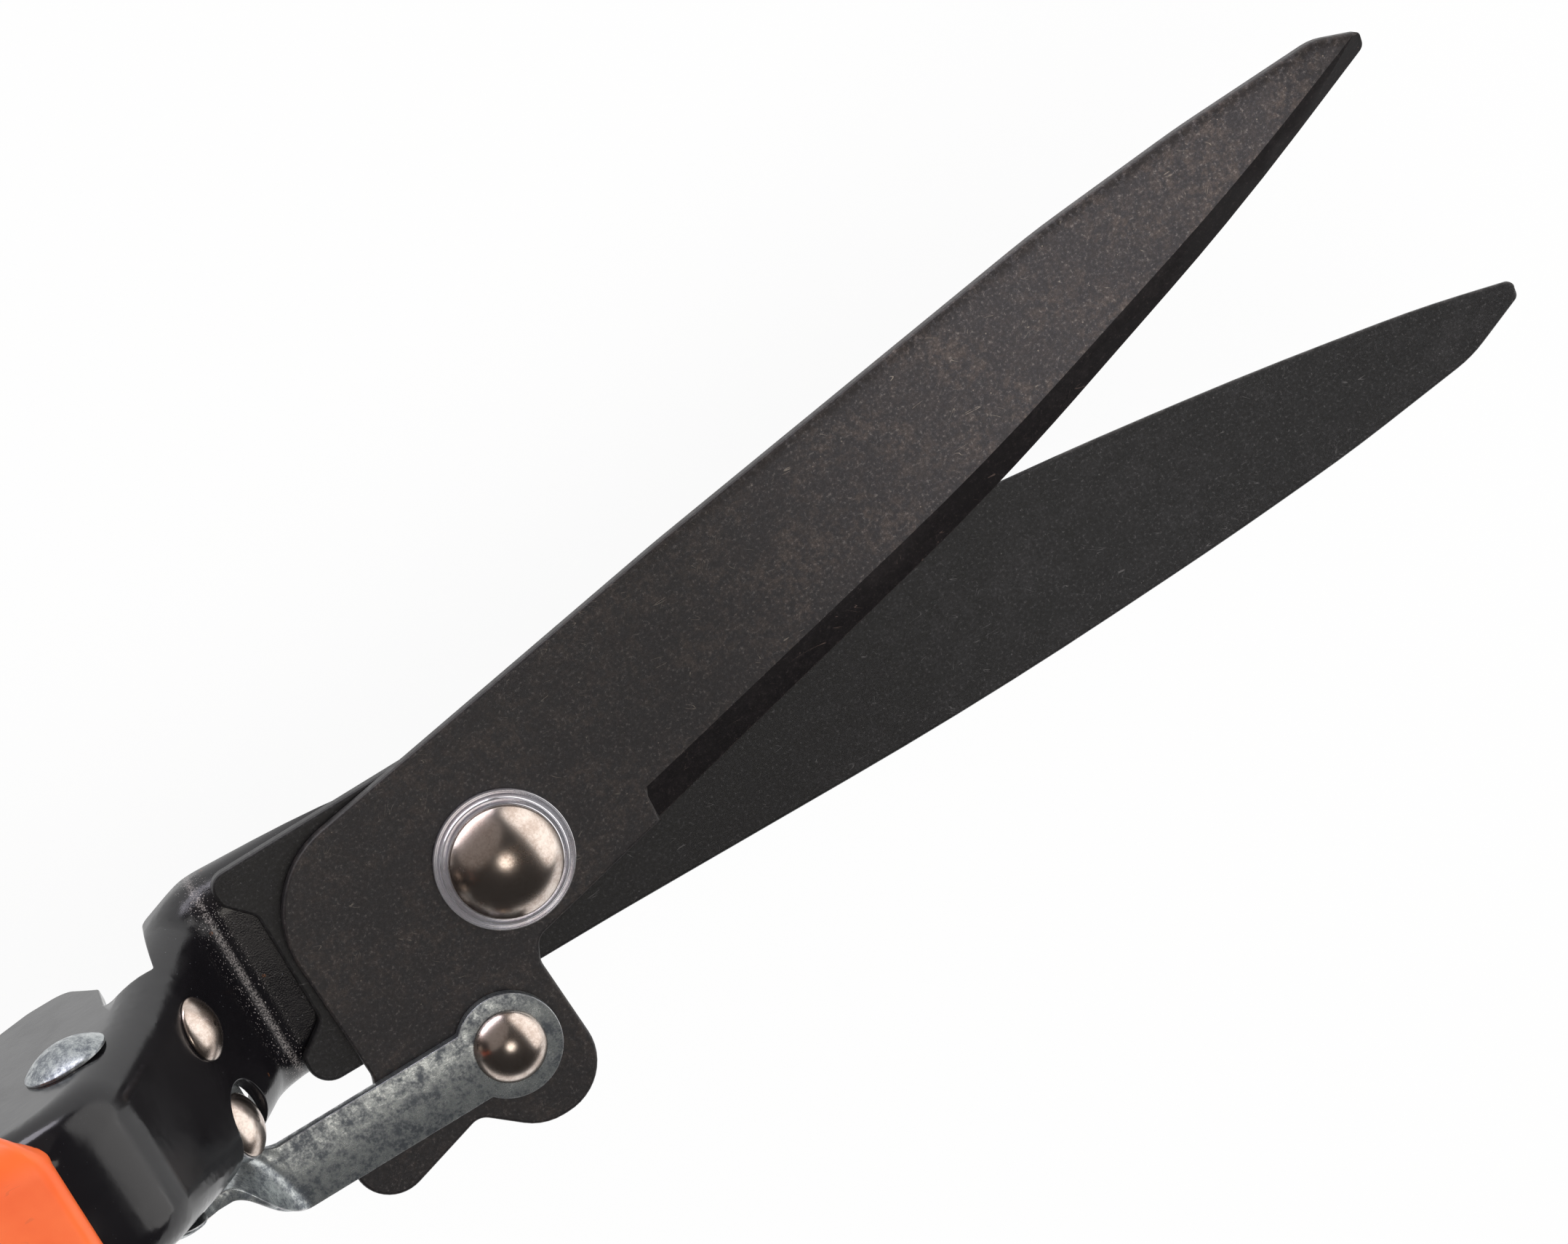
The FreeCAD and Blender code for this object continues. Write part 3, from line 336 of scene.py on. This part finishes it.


# gloss black paint of the stampings: orange peel, granular in the bend, dust, a few rusty chips, and a
# painted highlight with painted glints along the fold
paintFinish = {
    "black": (0.0065, 0.006, 0.0072, 1), "roughness": (0.13, 0.24), "peel": 1.1, "granule": 0.24,
    "granular from (mm)": (143.0, 150.0), "patch": 8, "edge": 0.5, "worn": (0.035, 0.031, 0.032, 1),
    "dust": (0.20, 0.20, 0.22, 1), "dust specks": (0.7, 0.06, 0.70), "dust behind": 0.12, "dust share": 0.8,
    "fold (mm)": 155.4, "near fold": (0.3, 3.2, 1.0, 0.0), "paintedFoldLine": (0.15, 0.75, 0.5, 0.0),
    "paintedGlints": ((0.42, 0.1, 0.62, (6, 1, 3)), (0.28, 0.06, 0.5, (2, 9, 4))), "painted glint share": 0.8,
    "painted fold highlight": (0.34, 0.31, 0.30, 1), "chips": (3.1, 0.3, 0.86, (1, 5, 2)),
    "rust": (0.09, 0.035, 0.014, 1), "ridge grains": (0.42, 0.6), "chip grains": (0.4, 0.6),
    "edge range": (0.02, 0.3), "edge patches": (0.4, 0.65), "gloss over": (0.35, 0.65),
    "peel share": 0.5, "granular share": 0.8, "bump": 0.3, "bump (mm)": 0.08,
}


def blackPaint(finish):
    material, tree, shader = newMaterial("blackPaint")
    place = placeInMm(tree)
    along = axisOf(tree, place, "X")
    front = stretch(tree, along, *finish["granular from (mm)"])
    peel = noise(tree, place, finish["peel"], 2, 0.5)
    granule = noise(tree, place, finish["granule"], 2, 0.6)
    patches = noise(tree, place, finish["patch"], 4, 0.6)
    dustHere = calc(tree, "MAXIMUM", front, finish["dust behind"])
    dust = times(tree, specks(tree, *finish["dust specks"]), dustHere)
    tone = mixColors(tree, times(tree, dust, finish["dust share"]), finish["black"], finish["dust"])
    # painted highlight: a light line and light glints painted along the fold, standing in for the lamps'
    # sparkle on the bent paint
    fromFold = calc(tree, "ABSOLUTE", calc(tree, "SUBTRACT", along, finish["fold (mm)"]))
    nearFold = stretch(tree, fromFold, *finish["near fold"])
    paintedGlints = strongest(tree, [specks(tree, *layer) for layer in finish["paintedGlints"]])
    paintedGlints = times(tree, times(tree, paintedGlints, nearFold), finish["painted glint share"])
    paintedFoldLine = stretch(tree, fromFold, *finish["paintedFoldLine"])
    paintedFoldLine = times(tree, paintedFoldLine, stretch(tree, granule, *finish["ridge grains"]))
    tone = mixColors(tree, calc(tree, "MAXIMUM", paintedFoldLine, paintedGlints), tone, finish["painted fold highlight"])
    chips = times(tree, specks(tree, *finish["chips"]), front)
    chips = times(tree, chips, stretch(tree, granule, *finish["chip grains"]))
    tone = mixColors(tree, chips, tone, finish["rust"])
    worn = edgeMask(tree, finish["edge"], *finish["edge range"])
    worn = times(tree, worn, stretch(tree, patches, *finish["edge patches"]))
    tree.links.new(mixColors(tree, worn, tone, finish["worn"]), shader.inputs["Base Color"])
    gloss = stretch(tree, patches, *finish["gloss over"], *finish["roughness"])
    tree.links.new(gloss, shader.inputs["Roughness"])
    granular = calc(tree, "ADD", times(tree, front, finish["granular share"]), nearFold)
    height = calc(tree, "ADD", times(tree, peel, finish["peel share"]), times(tree, granule, granular))
    addBump(tree, shader, height, finish["bump"], finish["bump (mm)"])
    return material


# orange moulded sleeves: even colour, fine moulding grain, faint grime
gripFinish = {
    "orange": (0.87, 0.146, 0.030, 1), "deep": (0.80, 0.112, 0.021, 1), "cloud": 16, "grain": 0.35,
    "roughness": (0.36, 0.48), "grime": (0.42, 0.085, 0.03, 1),
    "smears": (11, 1.6, 12, (2, 7, 3), 0.007, 0.58), "smear share": 0.25,
    "spots": (4.2, 0.16, 0.8), "spot share": 0.5, "bump": 0.22, "bump (mm)": 0.02,
    "light inside": 0.06, "light depth (m)": (0.004, 0.0015, 0.0008),
    "clouds": (0.35, 0.65), "gloss over": (0.3, 0.7),
}


def orangeSleeve(finish):
    material, tree, shader = newMaterial("orangeSleeve")
    place = placeInMm(tree)
    clouds = noise(tree, place, finish["cloud"], 4, 0.55)
    grain = noise(tree, place, finish["grain"], 2, 0.5)
    tone = mixColors(tree, stretch(tree, clouds, *finish["clouds"]), finish["orange"], finish["deep"])
    smears = times(tree, strokes(tree, *finish["smears"]), finish["smear share"])
    spots = times(tree, specks(tree, *finish["spots"]), finish["spot share"])
    grime = calc(tree, "MAXIMUM", smears, spots)
    tree.links.new(mixColors(tree, grime, tone, finish["grime"]), shader.inputs["Base Color"])
    gloss = stretch(tree, clouds, *finish["gloss over"], *finish["roughness"])
    tree.links.new(gloss, shader.inputs["Roughness"])
    shader.inputs["Subsurface Weight"].default_value = finish["light inside"]
    shader.inputs["Subsurface Radius"].default_value = finish["light depth (m)"]
    addBump(tree, shader, grain, finish["bump"], finish["bump (mm)"])
    return material


# plated and drawn metals share one way of making: spangle, polish marks and pits
nickelFinish = {
    "light": (0.72, 0.63, 0.57, 1), "dark": (0.50, 0.40, 0.34, 1), "pits": (0.30, 0.25, 0.22, 1),
    "spangle": 5.0, "grain": 0.35, "roughness": (0.21, 0.29), "bump": 0.05, "polish": 0.004, "metallic": 1.0,
}
washerFinish = {
    "light": (0.86, 0.86, 0.90, 1), "dark": (0.78, 0.75, 0.78, 1), "pits": (0.40, 0.38, 0.38, 1),
    "spangle": 5.0, "grain": 0.35, "roughness": (0.10, 0.16), "bump": 0.04, "polish": 0.004, "metallic": 0.85,
}
zincFinish = {
    "light": (0.47, 0.50, 0.50, 1), "dark": (0.135, 0.15, 0.17, 1), "pits": (0.80, 0.82, 0.82, 1),
    "spangle": 1.5, "grain": 0.28, "roughness": (0.24, 0.44), "bump": 0.30, "polish": 0.003, "metallic": 0.85,
    # edge: colour of the painted highlight along the zinc's edges
    "edge": (0.97, 0.94, 0.95, 1),
}
springFinish = {
    "light": (0.42, 0.40, 0.38, 1), "dark": (0.20, 0.18, 0.17, 1), "pits": (0.10, 0.08, 0.07, 1),
    "spangle": 2.0, "grain": 0.2, "roughness": (0.25, 0.38), "bump": 0.10, "polish": 0.004, "metallic": 1.0,
}
platePattern = {
    "wide": 3, "spangle share": 0.6, "wide share": 0.25, "grain share": 0.15, "tones over": (0.40, 0.60),
    "gloss over": (0.38, 0.62), "edge": 0.45, "edge range": (0.01, 0.2), "edge patches": (0.3, 0.6, 0.3, 0.9),
    "pits": (1.1, 0.07, 0.72, (3, 3, 1)), "pit share": 0.6, "polish marks": (5, 0.9, 28, (6, 2, 4)),
    "marks kept": 0.5, "mark depth": 0.8, "bump (mm)": 0.03,
}


def platedMetal(name, finish):
    material, tree, shader = newMaterial(name)
    pattern = platePattern
    place = placeInMm(tree)
    wide = noise(tree, place, finish["spangle"] * pattern["wide"], 3, 0.6)
    spangle = noise(tree, place, finish["spangle"], 5, 0.75)
    grain = noise(tree, place, finish["grain"], 2, 0.6)
    patchy = calc(tree, "ADD", times(tree, spangle, pattern["spangle share"]),
                  times(tree, wide, pattern["wide share"]))
    patchy = calc(tree, "ADD", patchy, times(tree, grain, pattern["grain share"]))
    tone = mixColors(tree, stretch(tree, patchy, *pattern["tones over"]), finish["light"], finish["dark"])
    # painted highlight: edges painted near white, standing in for the lamps' glint on them
    if "edge" in finish:
        bright = edgeMask(tree, pattern["edge"], *pattern["edge range"])
        bright = times(tree, bright, stretch(tree, wide, *pattern["edge patches"]))
        tone = mixColors(tree, bright, tone, finish["edge"])
    pits = times(tree, specks(tree, *pattern["pits"]), pattern["pit share"])
    tree.links.new(mixColors(tree, pits, tone, finish["pits"]), shader.inputs["Base Color"])
    shader.inputs["Metallic"].default_value = finish["metallic"]
    gloss = stretch(tree, patchy, *pattern["gloss over"], *finish["roughness"])
    tree.links.new(gloss, shader.inputs["Roughness"])
    marks = strokes(tree, *pattern["polish marks"], finish["polish"], pattern["marks kept"])
    height = calc(tree, "SUBTRACT", grain, times(tree, marks, pattern["mark depth"]))
    addBump(tree, shader, height, finish["bump"], pattern["bump (mm)"])
    return material


# black moulded plastic of the spring's seats
seatFinish = {
    "black": (0.018, 0.018, 0.019, 1), "dusty": (0.05, 0.048, 0.046, 1), "cloud": 2.5, "grain": 0.3,
    "roughness": (0.42, 0.6), "dust over": (0.45, 0.7), "gloss over": (0.3, 0.7),
    "bump": 0.2, "bump (mm)": 0.02,
}


def seatPlastic(finish):
    material, tree, shader = newMaterial("seatPlastic")
    place = placeInMm(tree)
    clouds = noise(tree, place, finish["cloud"], 4, 0.6)
    tone = mixColors(tree, stretch(tree, clouds, *finish["dust over"]), finish["black"], finish["dusty"])
    tree.links.new(tone, shader.inputs["Base Color"])
    gloss = stretch(tree, clouds, *finish["gloss over"], *finish["roughness"])
    tree.links.new(gloss, shader.inputs["Roughness"])
    addBump(tree, shader, noise(tree, place, finish["grain"], 2, 0.5), finish["bump"], finish["bump (mm)"])
    return material


finishes = {
    "blade_steel": bladeSteel("movingBladeOxide", movingFinish),
    "fixed": bladeSteel("fixedBladeOxide", fixedFinish),
    "ground": bladeSteel("groundBevel", groundFinish),
    "handle_paint": blackPaint(paintFinish),
    "grip_orange": orangeSleeve(gripFinish),
    "nickel": platedMetal("nickelPlate", nickelFinish),
    "washer": platedMetal("washerPlate", washerFinish),
    "zinc": platedMetal("zincPlate", zincFinish),
    "spring_steel": platedMetal("springWire", springFinish),
    "seat_plastic": seatPlastic(seatFinish),
}
print("finishes made")


# pieces made from a merged copy of the construction, with rounded edges
merging = {"doubles": 0.002, "flat (deg)": 0.25}
smoothUpTo = {"stamped": 32, "moulded": 70, "blade": 20, "bolt": 40, "ring": 50, "wire": 50}      # degrees


def linkPiece(name, form, node, smoothAngle, materials=None, weighted=True):
    mesh = bpy.data.meshes.new(name)
    form.to_mesh(mesh)
    form.free()
    for material in materials or [finishes[slotOf[node]]]:
        mesh.materials.append(material)
    mesh.shade_smooth()
    mesh.set_sharp_from_angle(angle=math.radians(smoothAngle))
    piece = bpy.data.objects.new(name, mesh)
    bpy.context.scene.collection.objects.link(piece)
    if weighted:        # large flat faces stay flat beside a rounding
        leaning = piece.modifiers.new("faceNormals", "WEIGHTED_NORMAL")
        leaning.keep_sharp = True
        leaning.weight = 90
    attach(piece, bodyOf[node])
    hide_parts(node)
    return piece


def mergedCopy(node):
    form = bmesh.new()
    form.from_mesh(nodes[node].data)
    bmesh.ops.remove_doubles(form, verts=form.verts, dist=merging["doubles"] * mm)
    bmesh.ops.dissolve_limit(form, angle_limit=math.radians(merging["flat (deg)"]), verts=form.verts,
                             edges=form.edges)
    return form


def sharpEdges(form, degrees):
    least = math.radians(degrees)
    return [edge for edge in form.edges if edge.is_manifold and edge.calc_face_angle() > least]


def cornersOf(form):
    places = [vert.co for vert in form.verts]
    return ([min(place[axis] for place in places) for axis in range(3)],
            [max(place[axis] for place in places) for axis in range(3)])


def areaOf(form):
    return sum(face.calc_area() for face in form.faces)


roundingTrials = {"shares": (1, 0.75, 0.5, 0.3, 0.15), "past the piece": 0.012, "area": 1.0005}


def rounded(form, chooseEdges, width, segments):
    # takes the widest rounding that leaves nothing sticking out of the piece
    area = areaOf(form)
    low, high = cornersOf(form)
    for share in roundingTrials["shares"]:
        trial = form.copy()
        bmesh.ops.bevel(trial, geom=chooseEdges(trial), offset=width * share * mm, offset_type="OFFSET",
                        segments=segments, profile=0.5, affect="EDGES", clamp_overlap=False, material=-1)
        newLow, newHigh = cornersOf(trial)
        past = max(max(low[axis] - newLow[axis], newHigh[axis] - high[axis]) for axis in range(3))
        if past < roundingTrials["past the piece"] * mm and areaOf(trial) < area * roundingTrials["area"]:
            print("  rounding", round(width * share, 3), "mm")
            form.free()
            return trial
        trial.free()
    print("  no rounding")
    return form


roundings = {      # rounding in mm, segments, least angle of a rounded edge
    "main_handle": (0.30, 3, 40),
    "stiffener": (0.15, 2, 40),
    "upper_grip": (0.25, 2, 40),
    "lower_grip": (0.25, 2, 40),
    "lower_lever": (0.30, 3, 40),
    "link": (0.28, 3, 40),
    "link_rivet": (0.18, 2, 40),
    "link_pin": (0.15, 2, 40),
    "web_rivet": (0.18, 2, 40),
    "lever_rivet": (0.2, 2, 40),
    "spring_washer": (0.15, 2, 50),
    "pivot_nut": (0.15, 2, 25),
    "blade_rivets": (0.12, 2, 50),
    "lever_bush": (0.1, 2, 50),
    "upper_spring_seat": (0.2, 2, 50),
    "lower_spring_seat": (0.2, 2, 50),
    "catch_bail": (0.1, 2, 60),
}
softCreases = {"main_handle": (2.2, 4), "lower_lever": (1.6, 3)}      # the bends of the stampings
leastCrease = 15       # degrees
sleeves = ("upper_grip", "lower_grip")
curvedPieces = (*sleeves, "catch_bail", "link")


def dressPiece(node, width, segments, degrees):
    print(node)
    form = mergedCopy(node)
    if node in softCreases:
        bend, bendSegments = softCreases[node]
        steepest = math.radians(degrees)
        creases = [edge for edge in sharpEdges(form, leastCrease) if edge.calc_face_angle() < steepest]
        bmesh.ops.bevel(form, geom=creases, offset=bend * mm, offset_type="OFFSET", segments=bendSegments,
                        profile=0.5, affect="EDGES", clamp_overlap=True, material=-1)
    form = rounded(form, lambda trial: sharpEdges(trial, degrees), width, segments)
    smoothAngle = smoothUpTo["moulded" if node in sleeves else "stamped"]
    linkPiece(node + "Dressed", form, node, smoothAngle, weighted=node not in curvedPieces)


for node, facts in roundings.items():
    dressPiece(node, *facts)
print("stampings, link and rivets dressed")


# blades: rolled stamping edges, a ground bevel with its own finish
bladeEdges = {"rolled": 0.55, "rolled segments": 4, "corner (deg)": 75, "tall side": 1.2, "shortest": 0.12,
              "bevel slope": (0.5, 0.992)}


def tallEdges(form):
    # edges between a flat face and a standing side, not the thin cutting edge
    rolled = []
    for edge in sharpEdges(form, bladeEdges["corner (deg)"]):
        flats = [face for face in edge.link_faces if abs(face.normal.z) > 0.99]
        sides = [face for face in edge.link_faces if abs(face.normal.z) < 0.1]
        if flats and sides:
            heights = [vert.co.z for vert in sides[0].verts]
            if max(heights) - min(heights) > bladeEdges["tall side"] * mm:
                rolled.append(edge)
    return rolled


def bladePiece(node, finish):
    print(node)
    form = mergedCopy(node)
    bmesh.ops.dissolve_degenerate(form, dist=bladeEdges["shortest"] * mm, edges=form.edges)
    steepest, flattest = bladeEdges["bevel slope"]
    for face in form.faces:
        if steepest < abs(face.normal.z) < flattest:
            face.material_index = 1
    form = rounded(form, tallEdges, bladeEdges["rolled"], bladeEdges["rolled segments"])
    materials = [finishes[finish], finishes["ground"]]
    linkPiece(node + "Dressed", form, node, smoothUpTo["blade"], materials)


bladePiece("moving_blade", "blade_steel")
bladePiece("fixed_blade", "fixed")
print("blades dressed")


# turned pieces: pivot bolt and cup washer
boltShape = {"dome radius": 8.1, "dome high": 4.4, "dome steps": 26, "base": 4.5, "rim": 0.45,
             "rim corner": 0.12, "shank radius": 4.0, "tail": -13.8,
             "thread from": -6.4, "thread pitch": 1.25, "thread deep": 0.6}
washerOutline = (      # radius and height from the blade pivot in mm, out from the hole and back
    (4.08, 2.7), (9.95, 2.7), (10.1, 2.85), (10.1, 3.45), (10.02, 3.66), (9.88, 3.7), (9.76, 3.6),
    (9.68, 3.1), (9.52, 3.05), (9.38, 3.5), (9.05, 4.05), (8.9, 4.12), (8.76, 4.0), (8.66, 3.3),
    (8.5, 3.25), (8.36, 3.9), (8.28, 4.4), (8.14, 4.48), (4.08, 4.48),
)
turnedSteps = 96


def lineTo(form, vert, radius, height):
    grown = bmesh.ops.extrude_vert_indiv(form, verts=[vert])["verts"][0]
    grown.co = Vector((radius, 0, height)) * mm
    return grown


def spinRound(form, turns):
    bmesh.ops.spin(form, geom=form.verts[:] + form.edges[:], cent=(0, 0, 0), axis=(0, 0, 1), dvec=(0, 0, 0),
                   angle=math.tau, steps=turns, use_merge=True, use_duplicate=False)
    bmesh.ops.remove_doubles(form, verts=form.verts, dist=0.001 * mm)
    bmesh.ops.recalc_face_normals(form, faces=form.faces)
    bmesh.ops.translate(form, verts=form.verts, vec=bladePivot * mm)


def pivotBolt(shape):
    form = bmesh.new()
    cap = shape["dome high"] - shape["rim"]
    ball = (shape["dome radius"] ** 2 + cap ** 2) / (2 * cap)
    top = shape["base"] + shape["dome high"]
    centre = Vector((0, 0, top - ball)) * mm
    pole = form.verts.new((0, 0, top * mm))
    bmesh.ops.spin(form, geom=[pole], cent=centre, axis=(0, 1, 0), steps=shape["dome steps"],
                   angle=math.asin(shape["dome radius"] / ball))
    form.verts.ensure_lookup_table()
    end = max(form.verts, key=lambda vert: vert.co.x)
    rim = shape["dome radius"]
    corner = shape["rim corner"]
    shank = shape["shank radius"]
    core = shank - shape["thread deep"]
    height = shape["thread from"]
    for step in ((rim, shape["base"] + corner), (rim - corner, shape["base"]), (shank, shape["base"]),
                 (shank, height)):
        end = lineTo(form, end, *step)
    while height - shape["thread pitch"] > shape["tail"]:
        end = lineTo(form, end, core, height - shape["thread pitch"] / 2)
        height -= shape["thread pitch"]
        end = lineTo(form, end, shank, height)
    end = lineTo(form, end, core, shape["tail"])
    lineTo(form, end, 0, shape["tail"])
    spinRound(form, turnedSteps)
    linkPiece("pivotBoltDressed", form, "pivot_bolt", smoothUpTo["bolt"], weighted=False)


def cupWasher(outline):
    form = bmesh.new()
    first = form.verts.new((outline[0][0] * mm, 0, outline[0][1] * mm))
    end = first
    for radius, height in outline[1:]:
        end = lineTo(form, end, radius, height)
    form.edges.new((end, first))
    spinRound(form, turnedSteps)
    piece = linkPiece("cupWasherDressed", form, "cup_washer", smoothUpTo["ring"], [finishes["washer"]], False)
    soft = piece.modifiers.new("softRings", "SUBSURF")
    soft.levels = soft.render_levels = 1


pivotBolt(boltShape)
cupWasher(washerOutline)
print("pivot turned")


# opening spring: one wire wound by a rising spin, its ends turned up and down to the seats
springShape = {"axis (mm)": (109.0, 0.0), "low": -18.7, "high": -3.4, "radius": 4.2, "wire": 0.6,
               "wire sides": 12, "bend": 1.5, "bend steps": 8, "turns": 4, "steps": 28, "kept": 0.468}


def ringOf(made):
    return [item for item in made["geom_last"] if isinstance(item, (bmesh.types.BMVert, bmesh.types.BMEdge))]


def springEnd(form, ring, centre, reach):
    made = bmesh.ops.spin(form, geom=ring, cent=centre * mm, axis=(1, 0, 0), angle=math.pi / 2,
                          steps=springShape["bend steps"])
    last = [item for item in ringOf(made) if isinstance(item, bmesh.types.BMEdge)]
    grown = bmesh.ops.extrude_edge_only(form, edges=last)["geom"]
    verts = [item for item in grown if isinstance(item, bmesh.types.BMVert)]
    bmesh.ops.translate(form, verts=verts, vec=(0, 0, reach * mm))
    bmesh.ops.contextual_create(form, geom=[item for item in grown if isinstance(item, bmesh.types.BMEdge)])


def openingSpring(shape):
    form = bmesh.new()
    x, y = shape["axis (mm)"]
    end = 2 * shape["wire"]
    low = shape["low"] + end + shape["bend"]
    high = shape["high"] - end - shape["bend"]
    side = x + shape["radius"]
    count = shape["turns"] * shape["steps"]
    made = bmesh.ops.create_circle(form, segments=shape["wire sides"], radius=shape["wire"] * mm)
    bmesh.ops.rotate(form, verts=made["verts"], cent=(0, 0, 0), matrix=Matrix.Rotation(math.pi / 2, 3, "X"))
    bmesh.ops.translate(form, verts=made["verts"], vec=Vector((side, y, low)) * mm)
    ring = form.verts[:] + form.edges[:]
    foot = bmesh.ops.duplicate(form, geom=ring)["geom"]
    rise = (0, 0, (high - low) / count * mm)
    made = bmesh.ops.spin(form, geom=ring, cent=Vector((x, y, 0)) * mm, axis=(0, 0, 1),
                          angle=math.tau * shape["turns"], dvec=rise, steps=count)
    springEnd(form, ringOf(made), Vector((side, y, high + shape["bend"])), end)
    springEnd(form, foot, Vector((side, y, low - shape["bend"])), -end)
    bmesh.ops.remove_doubles(form, verts=form.verts, dist=merging["doubles"] * mm)
    bmesh.ops.recalc_face_normals(form, faces=form.faces)
    piece = linkPiece("openingSpringDressed", form, "opening_spring", smoothUpTo["wire"], weighted=False)
    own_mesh(piece)


openingSpring(springShape)
print("spring wound")


# floor, world and lamps
studio = {"floor drop (mm)": 0.5, "floor size": 6.0, "floor color": (0.8, 0.8, 0.8, 1),
          "floor roughness": 0.9, "camera white": 0.94, "world": 0.035, "world color": (1, 0.95, 0.92, 1)}
lamps = {       # direction from the blade pivot, distance, size, power, color, seen in reflections
    "keyLamp": ((0.95, 0.13, 0.30), 1.1, (2.6, 1.05), 10.5, (1, 0.98, 0.96), True),
    "topLamp": ((0.0, -0.04, 1.0), 1.1, (0.42, 0.42), 0.95, (1, 0.93, 0.85), True),
    "leftLamp": ((-0.25, 0.95, 0.03), 1.3, (1.8, 0.5), 14.0, (0.93, 0.90, 1), True),
    "upperLamp": ((-0.35, 0.70, 0.60), 1.2, (2.2, 1.5), 1.5, (1, 0.90, 0.85), True),
    "fillLamp": ((0.1, -0.1, 1.0), 1.6, (2.0, 2.0), 27, (1, 1, 1), False),
}


def paleFloor(setup):
    material, tree, shader = newMaterial("paleFloor")
    shader.inputs["Base Color"].default_value = setup["floor color"]
    shader.inputs["Roughness"].default_value = setup["floor roughness"]
    white = addNode(tree, "ShaderNodeEmission", None, Color=(1, 1, 1, 1), Strength=1.0)
    rays = addNode(tree, "ShaderNodeLightPath")
    seen = times(tree, rays.outputs["Is Camera Ray"], setup["camera white"])
    seen = strongest(tree, [seen, rays.outputs["Is Glossy Ray"], rays.outputs["Is Transmission Ray"]])
    mix = addNode(tree, "ShaderNodeMixShader")
    tree.links.new(seen, mix.inputs[0])
    tree.links.new(shader.outputs[0], mix.inputs[1])
    tree.links.new(white.outputs[0], mix.inputs[2])
    tree.links.new(mix.outputs[0], tree.nodes["Material Output"].inputs["Surface"])
    return material


def makeFloor(setup):
    low = cadBox[0].z - setup["floor drop (mm)"] * mm
    form = bmesh.new()
    bmesh.ops.create_grid(form, x_segments=1, y_segments=1, size=setup["floor size"] / 2)
    bmesh.ops.translate(form, verts=form.verts, vec=(bladePivot.x * mm, 0, low))
    mesh = bpy.data.meshes.new("studioFloor")
    form.to_mesh(mesh)
    form.free()
    mesh.materials.append(paleFloor(setup))
    floor = bpy.data.objects.new("studioFloor", mesh)
    bpy.context.scene.collection.objects.link(floor)


def makeLamp(name, direction, distance, size, power, color, glossy):
    data = bpy.data.lights.new(name, "AREA")
    data.shape = "ELLIPSE"
    data.size, data.size_y = size
    data.energy = power
    data.color = color
    lamp = bpy.data.objects.new(name, data)
    lamp.location = bladePivot * mm + Vector(direction).normalized() * distance
    lamp.rotation_euler = (-Vector(direction)).to_track_quat("-Z", "Y").to_euler()
    lamp.visible_glossy = glossy
    bpy.context.scene.collection.objects.link(lamp)


makeFloor(studio)
for name, facts in lamps.items():
    makeLamp(name, *facts)
world = bpy.data.worlds.new("studioWorld")
world.use_nodes = True
world.node_tree.nodes["Background"].inputs["Color"].default_value = studio["world color"]
world.node_tree.nodes["Background"].inputs["Strength"].default_value = studio["world"]
bpy.context.scene.world = world
bpy.context.scene.view_settings.view_transform = "Standard"
print("studio lit")
